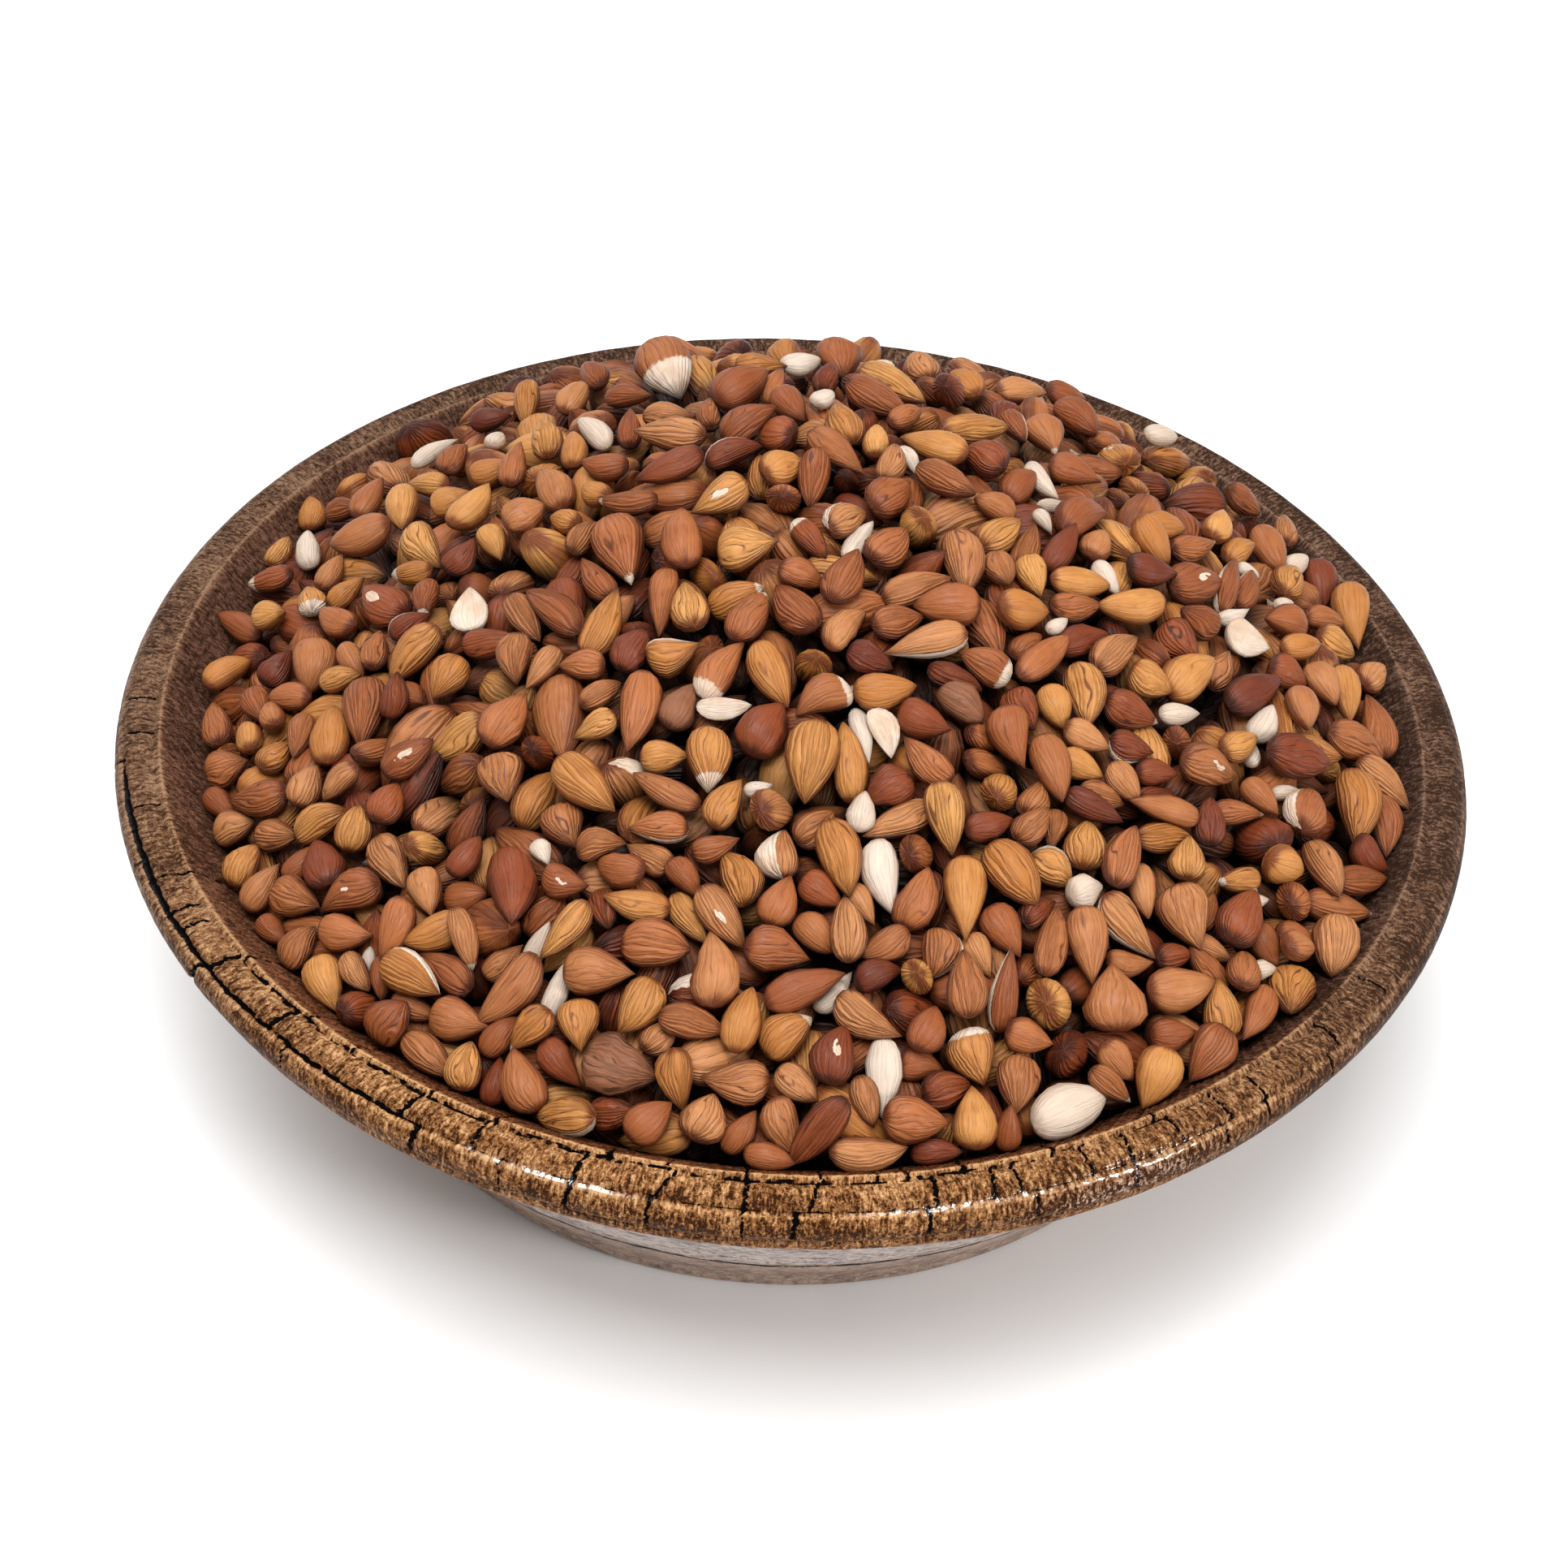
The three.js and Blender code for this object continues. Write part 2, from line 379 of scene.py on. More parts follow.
# cracks across the rim: angle from the front in degrees, positive to the right, the parts that it crosses,
# its width in mm, and how far it slants on the way out in mm
rimCracks = [
    (-86.4, "band", 0.4, 0.3), (-81.7, "band", 0.34, -0.3), (-72.0, "band", 0.3, 0.4),
    (-63.0, "band", 0.42, -0.5), (-58.8, "band", 0.5, -0.3), (-56.6, "band", 0.45, 0.2),
    (-51.6, "band", 0.7, -0.4), (-53.4, "roll", 1.0, -2.6), (-79.0, "roll", 0.42, -0.8),
    (-66.0, "roll", 0.36, 0.5), (-43.4, "band", 0.8, -0.6), (-29.3, "band", 0.72, -0.8),
    (-28.0, "roll", 0.8, -1.3), (-23.1, "band", 0.5, 0.3), (-14.7, "band", 0.6, -0.2),
    (-15.1, "roll", 0.62, -1.0), (-7.9, "band", 0.46, -2.0), (-8.9, "roll", 0.46, -0.6),
    (-41.2, "roll", 0.3, -0.4), (-20.5, "roll", 0.24, 0.2), (-1.7, "band", 0.55, 0.1),
    (3.5, "band", 0.48, -1.5), (2.0, "roll", 0.68, -0.5), (-1.8, "roll", 0.34, 0.1),
    (12.8, "band", 0.62, -0.3), (12.1, "roll", 0.58, 0.2), (17.4, "band", 0.44, -0.7),
    (19.3, "band", 0.4, 0.2), (20.5, "roll", 0.34, 0.2), (25.1, "band", 0.3, 0.1), (28.8, "band", 0.44, -0.9),
    (28.7, "roll", 0.36, 0.2), (33.2, "band", 0.28, 0.0), (37.8, "band", 0.34, 0.2),
    (41.6, "band", 0.42, -0.3), (37.0, "roll", 0.34, 0.3), (41.4, "roll", 0.3, 0.4),
    (50.4, "band", 0.44, -0.6), (48.8, "roll", 0.3, 0.4), (57.7, "band", 0.3, 0.2),
    (-62.8, "wall", 0.36, 0.8), (-50.9, "wall", 0.5, 0.6), (-41.9, "wall", 0.46, 0.8),
    (-36.7, "wall", 0.4, 0.9), (-28.7, "wall", 0.44, 0.7), (-22.7, "wall", 0.6, 0.8),
    (-12.9, "wall", 0.8, 0.4), (-8.0, "wall", 0.44, 0.0), (-1.8, "wall", 0.4, 0.1), (4.1, "wall", 0.4, 0.0),
    (8.5, "wall", 0.34, -0.2), (11.0, "wall", 0.55, -0.4), (15.7, "wall", 0.6, -0.6),
    (23.2, "wall", 0.7, -0.8), (32.6, "wall", 0.55, -1.4),
]


def rimRelief(angle, s):
    # height of the glaze over the plain section in mm, and how black each place is: each crack is a
    # bell-shaped dip about its path. Long ones wander round behind the bead, along the shoulder and at the
    # roll's foot, and short ones cross between them. Ropes of glaze stand on the left of the band and inside
    # the bead, and the wet places at the front are dimpled
    around = angle * bowl["rimRadius"]
    degrees = np.degrees(angle)  # 0 at the front, positive towards the right
    height = np.zeros_like(s)
    black = np.zeros_like(s)
    wander = 0.26 * waves(around, [61, 23, 9.5, 4.1], 11)
    behindBead = between(degrees, -52, 44, 1.5) * (0.8 - 0.3 * between(degrees, 18, 60, 8))
    shoulder = 0.95 * between(degrees, -78, -30, 1.5) + 0.4 * between(degrees, -30, 45, 3) + 0.12
    middle = 0.3 * between(degrees, -48, 46, 3) * (0.6 + 0.6 * waves(around, [41, 17], 19))
    foot = np.full_like(degrees, 0.85)
    shoulderWidth = 0.3 + 0.42 * between(degrees, -78, -58, 3) + 0.2 * waves(around, [17, 5.3, 2.2, 1.3], 13)
    longCracks = [
        # length along the section, width, depth, and how open it is round the rim
        (rimParts["groove"] + wander, 0.27 + 0.2 * waves(around, [31, 7, 3, 1.7], 12), 0.8, behindBead),
        (rimParts["shoulder"] + 1.2 * wander, shoulderWidth, 0.8, shoulder),
        (rimParts["rollMiddle"] + wander, 0.26 + 0.1 * waves(around, [19, 6], 20), 0.4, middle),
        (rimParts["rollFoot"] + 0.9 * wander, 0.4 + 0.14 * waves(around, [13, 4, 2.1], 14), 0.6, foot),
    ]
    for centre, width, depth, openness in longCracks:
        line = dip(s - centre, np.maximum(width, 0.16)) * openness
        height -= depth * line
        black = np.maximum(black, line)
    limits = {"wall": ("wall", "groove"), "band": ("groove", "shoulder"), "roll": ("shoulder", "rollFoot")}
    for number, (at, part, width, slant) in enumerate(rimCracks):
        low, high = (rimParts[name] for name in limits[part])
        outward = (s - low) / (high - low) - 0.5
        path = math.radians(at) * bowl["rimRadius"] + slant * outward
        path = path + 0.28 * waves(s + at, [5.1, 2.3, 1.1], number)
        thin = 0.68 if part == "wall" else 0.62
        thin = thin * width * (1 + 0.6 * waves(s + at, [3.4, 1.3, 0.8], 50 + number))
        line = dip(around - path, np.maximum(thin, 0.2)) * between(s, low - 0.2, high + 0.2, 0.12)
        height -= 0.7 * min(1.0, 1.6 * width) * line
        black = np.maximum(black, line * min(1.0, 0.72 + width))
    onBand = between(s, rimParts["groove"] + 0.9, rimParts["shoulder"] - 0.5, 0.3)
    ropes = between(degrees, -118, -40, 8) * onBand
    height += 0.3 * ropes * waves(around + 0.5 * waves(s, [3.0], 5), [2.4, 3.1, 1.8], 15)
    slanted = around + 0.9 * s
    height += 0.2 * waves(slanted, [3.1, 1.9, 1.4], 16) * between(s, 2, rimParts["ridge"] - 1, 1)
    height += 0.05 * waves(s * 1.7 + 0.2 * around, [3.3, 1.3], 17)
    wet = between(degrees, 8, 36, 2) + 0.4 * between(degrees, -25, -10, 2)
    dimples = waves(around + 1.3 * s, [2.6, 1.7, 1.2], 23) + waves(around - 1.1 * s, [2.2, 1.5, 1.3], 24)
    height += 0.085 * wet * between(s, rimParts["shoulder"] - 0.5, rimParts["rollFoot"] - 1, 0.4) * dimples
    return height, black


def sectionNormals(curve):
    # outward normals of a section run from the inside over the top to the outside
    slope = np.gradient(curve, axis=0)
    return unit(np.stack([-slope[:, 1], slope[:, 0]], 1))


def revolve(curve, angles, height=None):
    # a section carried round the axis; the angle is 0 at the front and grows towards the right
    normal = sectionNormals(curve)
    raised = curve[:, None, :] + (0 if height is None else height[:, :, None] * normal[:, None, :])
    r, z = np.broadcast_to(raised, (len(curve), len(angles), 2)).transpose(2, 0, 1)
    return np.stack([r * np.sin(angles), -r * np.cos(angles), z], -1)


def rimAngles():
    # fine columns round the front half and coarser ones round the back
    fine = int(math.pi * bowl["rimRadius"] / bowl["columnStep"])
    coarse = int(math.pi * bowl["rimRadius"] / bowl["backStep"])
    front = np.linspace(-0.5 * math.pi, 0.5 * math.pi, fine, endpoint=False)
    back = np.linspace(0.5 * math.pi, 1.5 * math.pi, coarse, endpoint=False)
    return np.concatenate([front, back])


def glazeMaterial(name, values):
    # colour: noise drawn out one way, from dark through middle to light brown, shifted by the tone attribute,
    # which holds painted highlight and painted shade as well as the glaze's own tone, with pale wrinkles
    # where a second noise crosses its middle, redder on the inside, greyer in the dull places, where the grey
    # is partly a duller glaze and partly painted reflection, and black where the crack attribute is high;
    # height: light places and wrinkles stand proud and cracks sink; coat: the shine attribute, where the
    # glaze is light
    material, tree = newMaterial(name)
    black, toneAndShade, dullAndSheen = attribute(tree, "glazeMark").parts()
    x, y, s = attribute(tree, "glazePlace").parts()
    shine, inner, _ = attribute(tree, "glazeShine").parts()
    size = values["speckSize"]
    place = combined(x, y, s)
    across, down = (share / size for share in values["drawn"])
    drawnOut = combined(x * across, y * across, s * down)
    streaks = noise(drawnOut, 1.0, 3.0, 0.62, 0.5)
    specks = noise(place, 1.3 / size, 3.0, 0.65, 0.6)
    folds = noise(place, 0.8 / size, 2.0, 0.55, 0.4)
    wrinkle = abs(folds - 0.5).ramp(0.045, 0.0)
    broad = noise(place, 0.11, 2.0)
    fine = noise(place, 3.4, 2.0)
    edge = noise(place, 1.7, 3.0, 0.65)
    level = streaks * 0.62 + specks * 0.38 + (broad - 0.5) * 0.2 + (fine - 0.5) * 0.16 + toneAndShade
    level = level + (wrinkle - 0.25) * values["wrinkled"]
    colour = level.ramp(*values["lightRamp"]).mixed(values["middle"], values["light"])
    colour = level.ramp(*values["darkRamp"]).mixed(colour, values["dark"])
    reddish = level.ramp(*values["evenRamp"]).mixed(values["dark"], values["inner"])
    colour = inner.mixed(colour, reddish)
    dullAndSheenShare = dullAndSheen * 0.85
    # the greyish glaze: partly a duller glaze, partly painted reflection
    greyish = level.ramp(*values["evenRamp"]).mixed(values["dullAndSheenDark"], values["dullAndSheen"])
    colour = dullAndSheenShare.mixed(colour, greyish)
    crack = (black + (edge - 0.5) * 0.62).ramp(*values["crackRamp"])
    colour = crack.mixed(colour, values["crack"])
    height = level * 0.8 + fine * 0.1 - crack * 1.3
    rough = crack * 0.4 + dullAndSheen * 0.08 + values["roughness"] + (fine - 0.5) * 0.1
    coat = shine * level.ramp(*values["wetRamp"])
    sockets = {"Base Color": colour, "Roughness": rough, "IOR": values["reflection"], "Coat Weight": coat,
               "Coat Roughness": values["coatRoughness"], "Coat IOR": values["coatReflection"]}
    finishMaterial(tree, sockets, height, values["relief"] / 1000)
    return material


def rimToneAndShade(angle, s):
    # tone, which is how light the glaze is, 0 for even: the bead's crest is pale, painted highlight lightens
    # the roll just under the shoulder, each band darkens outwards, on the roll and the lip as painted shade,
    # and the whole rim is darker towards the right and the back, partly in the glaze's own colour and partly
    # as painted shade; then the share of a duller glaze on the left, the right and the back, greyer partly as
    # painted reflection
    degrees = np.degrees(angle)
    around = angle * bowl["rimRadius"]
    crest = dip(s - rimParts["ridge"] + 0.1, 0.34) * (0.7 + 0.3 * waves(around, [19, 7, 3.1], 3))
    # painted highlight: lighter just under the shoulder, where the roll catches the light
    underShoulder = dip(s - rimParts["shoulder"] - 0.8, 0.4)
    band = between(s, rimParts["groove"], rimParts["shoulder"], 0.1)
    roll = between(s, rimParts["shoulder"], rimParts["rollFoot"], 0.1)
    # darker outwards on the band; on the roll this is painted shade as it turns down
    fall = band * (s - rimParts["groove"]) / 5.6 * 0.05 + roll * (s - rimParts["shoulder"]) / 7.9 * 0.09
    wall = between(s, -rimParts["wall"], rimParts["ridge"] - 0.6, 0.4)
    ropes = wall * waves(around + 0.9 * s, [3.1, 1.9, 1.4], 16)
    # painted shade on the lip under the roll
    lip = between(s, rimParts["rollFoot"], sectionEnd, 0.1)
    back = between(np.abs(degrees), 145, turnEnd, 7)
    # darker towards the right and the back: partly the glaze's own colour, partly painted shade
    dark = np.maximum(between(degrees, 42, turnEnd, 10), back)
    toneAndShade = 0.16 * crest + 0.1 * underShoulder - fall - 0.02 * wall - 0.03 * roll - 0.05 * lip - 0.05 * dark
    toneAndShade = toneAndShade + 0.05 * ropes
    # the dull share on the left, the right and the back: partly a duller glaze, partly painted reflection
    outer = between(s, rimParts["groove"] - 1, sectionEnd, 0.5)
    onLeft = between(degrees, -turnEnd, -56, 10) * (0.68 + 0.22 * outer)
    dullAndSheen = onLeft + 0.95 * between(degrees, 45, turnEnd, 9)
    return toneAndShade, dullAndSheen * (1 - back) + 0.93 * back


def rimShine(angle, s):
    # where the glaze is thick and wet-looking, in patches along the shoulder and on the roll at the front,
    # and where it is the redder glaze of the inside
    degrees = np.degrees(angle)
    patches = between(degrees, 9, 21, 1) + between(degrees, -23, -12, 1)
    onShoulder = dip(s - rimParts["shoulder"] - 0.4, 0.7) * patches
    onRoll = between(s, rimParts["shoulder"], 27, 0.5) * between(degrees, 22, 34, 1.5)
    onLeft = between(s, rimParts["shoulder"] + 1, 28, 0.8) * between(degrees, -120, -58, 6)
    inner = between(s, -rimParts["wall"], rimParts["ridge"] - 0.5, 0.3)
    return np.clip(0.9 * onShoulder + onRoll + 0.15 * onLeft, 0, 1), inner


def glazeAttributes(angle, s, black, toneAndShade, dullAndSheen, shine, inner):
    # what the glaze reads at each point, with its place round the rim and along the section in mm
    radius = bowl["rimRadius"]
    place = np.stack([radius * np.sin(angle), -radius * np.cos(angle), s], -1)
    marks = {"glazePlace": place, "glazeMark": np.stack([black, toneAndShade, dullAndSheen], -1),
             "glazeShine": np.stack([shine, inner, 0 * inner], -1)}
    return {key: value.reshape(-1, 3) for key, value in marks.items()}


def addBowl():
    curve, lengths = smoothCurve(rimSection, bowl["rowStep"])
    angles = rimAngles()
    signed = (np.broadcast_to(angles, (len(curve), len(angles))) + np.pi) % (2 * np.pi) - np.pi
    s = np.broadcast_to(lengths[:, None], signed.shape)
    height, black = rimRelief(signed, s)
    points = revolve(curve, angles, height).reshape(-1, 3)
    faces = gridFaces(len(curve), len(angles), True)[:, ::-1]
    marks = glazeAttributes(signed, s, black, *rimToneAndShade(signed, s), *rimShine(signed, s))
    addPiece("bowlRim", points, faces, glazeMaterial("rimGlaze", bowl), marks, "bowl")

    angles = np.linspace(-np.pi, np.pi, wallLook["columns"], endpoint=False)
    wallGlaze = glazeMaterial("wallGlaze", {**bowl, **wallLook})
    for name, section in (("bowlWall", wallSection), ("bowlInside", insideSection)):
        curve, lengths = smoothCurve(section, wallLook["rowStep"])
        curve[:, 1] = np.maximum(curve[:, 1], 0)
        points = revolve(curve, angles)
        s = np.broadcast_to(lengths[:, None], points.shape[:2])
        angle = np.broadcast_to(angles, points.shape[:2])
        shine = np.zeros(s.shape)
        inner = shine + (name == "bowlInside")
        marks = glazeAttributes(angle, s, *wallMarks(angle, points[..., 2]), shine, inner)
        faces = gridFaces(len(curve), len(angles), True)[:, ::-1]
        addPiece(name, points.reshape(-1, 3), faces, wallGlaze, marks, "bowl")


def wallMarks(angle, z):
    # black, tone and dull on the wall: a smooth band painted pale grey as a reflection of the floor, then a
    # wandering crack, and mottled glaze below it; the glaze is darker in a band under the crack, and painted
    # shade darkens it under the lip
    around = angle * bowl["rimRadius"]
    wander = 0.5 * waves(around, [53, 19, 7.3], 21)
    black = dip(z - wallLook["crackHeight"] - wander, 0.8) * (0.75 + 0.25 * waves(around, [23, 9], 22))
    smooth = between(z, wallLook["bandFoot"] + 0.6 * wander, 80, 0.3)
    # painted shade: darker under the lip
    toneAndShade = 0.04 - 0.05 * dip(z - 7 - wander, 2.2) - 0.12 * between(z, 33, 80, 3)
    return black, toneAndShade, smooth


# the heap's form, as in the part

heap = {
    "apex": (3.0, 14.0, 101.0),
    "power": 1.75,  # 1 is a cone, 2 a parabola
    "edgeHeight": 59.6,  # mean height of the kernels' tops where the heap ends
    "swing": 2.9,  # the edge is this much higher on the high side
    "highSide": 56.0,  # degrees from +X towards +Y
    "saddle": 1.5,  # and this much higher at the front and the back than at the sides
    "layer": 17.0,  # depth of loose kernels over the core
    "lit": 3.4,  # depths under the mound between which painted shade darkens the kernels' colour to near black
    "dark": 9.0,
    "paintedUndersideShade": 0.5,  # how much sooner painted shade darkens the lower half of a kernel
    "gap": 0.4,
    "reach": 108.0,  # radius within which there are kernels
    "viewed": (380, 720),  # distances from the camera between which the mound is looked for
}


def wallRadius(z):
    # radius left inside the bowl at a height: the inner wall, then the 45 degree bevel up to the bead and
    # past it
    beadRadius, rimHeight, drop = bowl["beadRadius"], bowl["rimHeight"], bowl["bevelDrop"]
    bevel = beadRadius - (rimHeight - z)
    inner = np.interp(z, insideSection[:, 1], insideSection[:, 0])
    return np.where(z > rimHeight - drop, bevel, inner) - heap["gap"]


def edgeHeight(angle):
    # height of the kernels' tops where the heap meets the bowl: one wave round it for the high side and two
    # for the saddle
    turn = angle - math.radians(heap["highSide"])
    return heap["edgeHeight"] + heap["swing"] * np.cos(turn) - heap["saddle"] * np.cos(2 * angle)


def moundHeight(x, y):
    # height of the kernels' tops over a point: it falls from the apex to the edge with the share of the way
    # between them, raised to a power
    ax, ay, az = heap["apex"]
    direction = np.arctan2(y - ay, x - ax)
    u, v = np.cos(direction), np.sin(direction)
    along = ax * u + ay * v
    z = np.full_like(direction, heap["edgeHeight"])
    for _ in range(4):
        radius = np.minimum(wallRadius(z), bowl["beadRadius"] + 1)
        reach = -along + np.sqrt(along**2 + radius**2 - ax**2 - ay**2)
        z = edgeHeight(np.arctan2(ay + reach * v, ax + reach * u))
    share = np.hypot(x - ax, y - ay) / reach
    return z + (az - z) * (1 - share ** heap["power"])


def moundNormal(x, y):
    # direction straight out of the mound, from its slopes
    step = 0.5
    dx = (moundHeight(x + step, y) - moundHeight(x - step, y)) / (2 * step)
    dy = (moundHeight(x, y + step) - moundHeight(x, y - step)) / (2 * step)
    return unit(np.stack([-dx, -dy, np.ones_like(dx)], -1))


def onMound(pixels, depth=0.0):
    # where rays through pixels of the photograph meet the mound lowered by a depth, by stepping and halving
    start, ray = cameraPlace(), photoRay(pixels)
    first, last = heap["viewed"]
    near, far = np.full(len(pixels), float(first)), np.full(len(pixels), float(first))
    found = np.zeros(len(pixels), bool)
    for step in np.arange(first, last, 1.0):
        p = start + ray * step
        under = p[:, 2] < moundHeight(p[:, 0], p[:, 1]) - depth
        under &= np.hypot(p[:, 0], p[:, 1]) < heap["reach"]
        far = np.where(found, far, step)
        near = np.where(found, near, step - 1)
        found |= under
    for _ in range(12):
        middle = (near + far) / 2
        p = start + ray * middle[:, None]
        under = p[:, 2] < moundHeight(p[:, 0], p[:, 1]) - depth
        near, far = np.where(under, near, middle), np.where(under, middle, far)
    return start + ray * far[:, None]


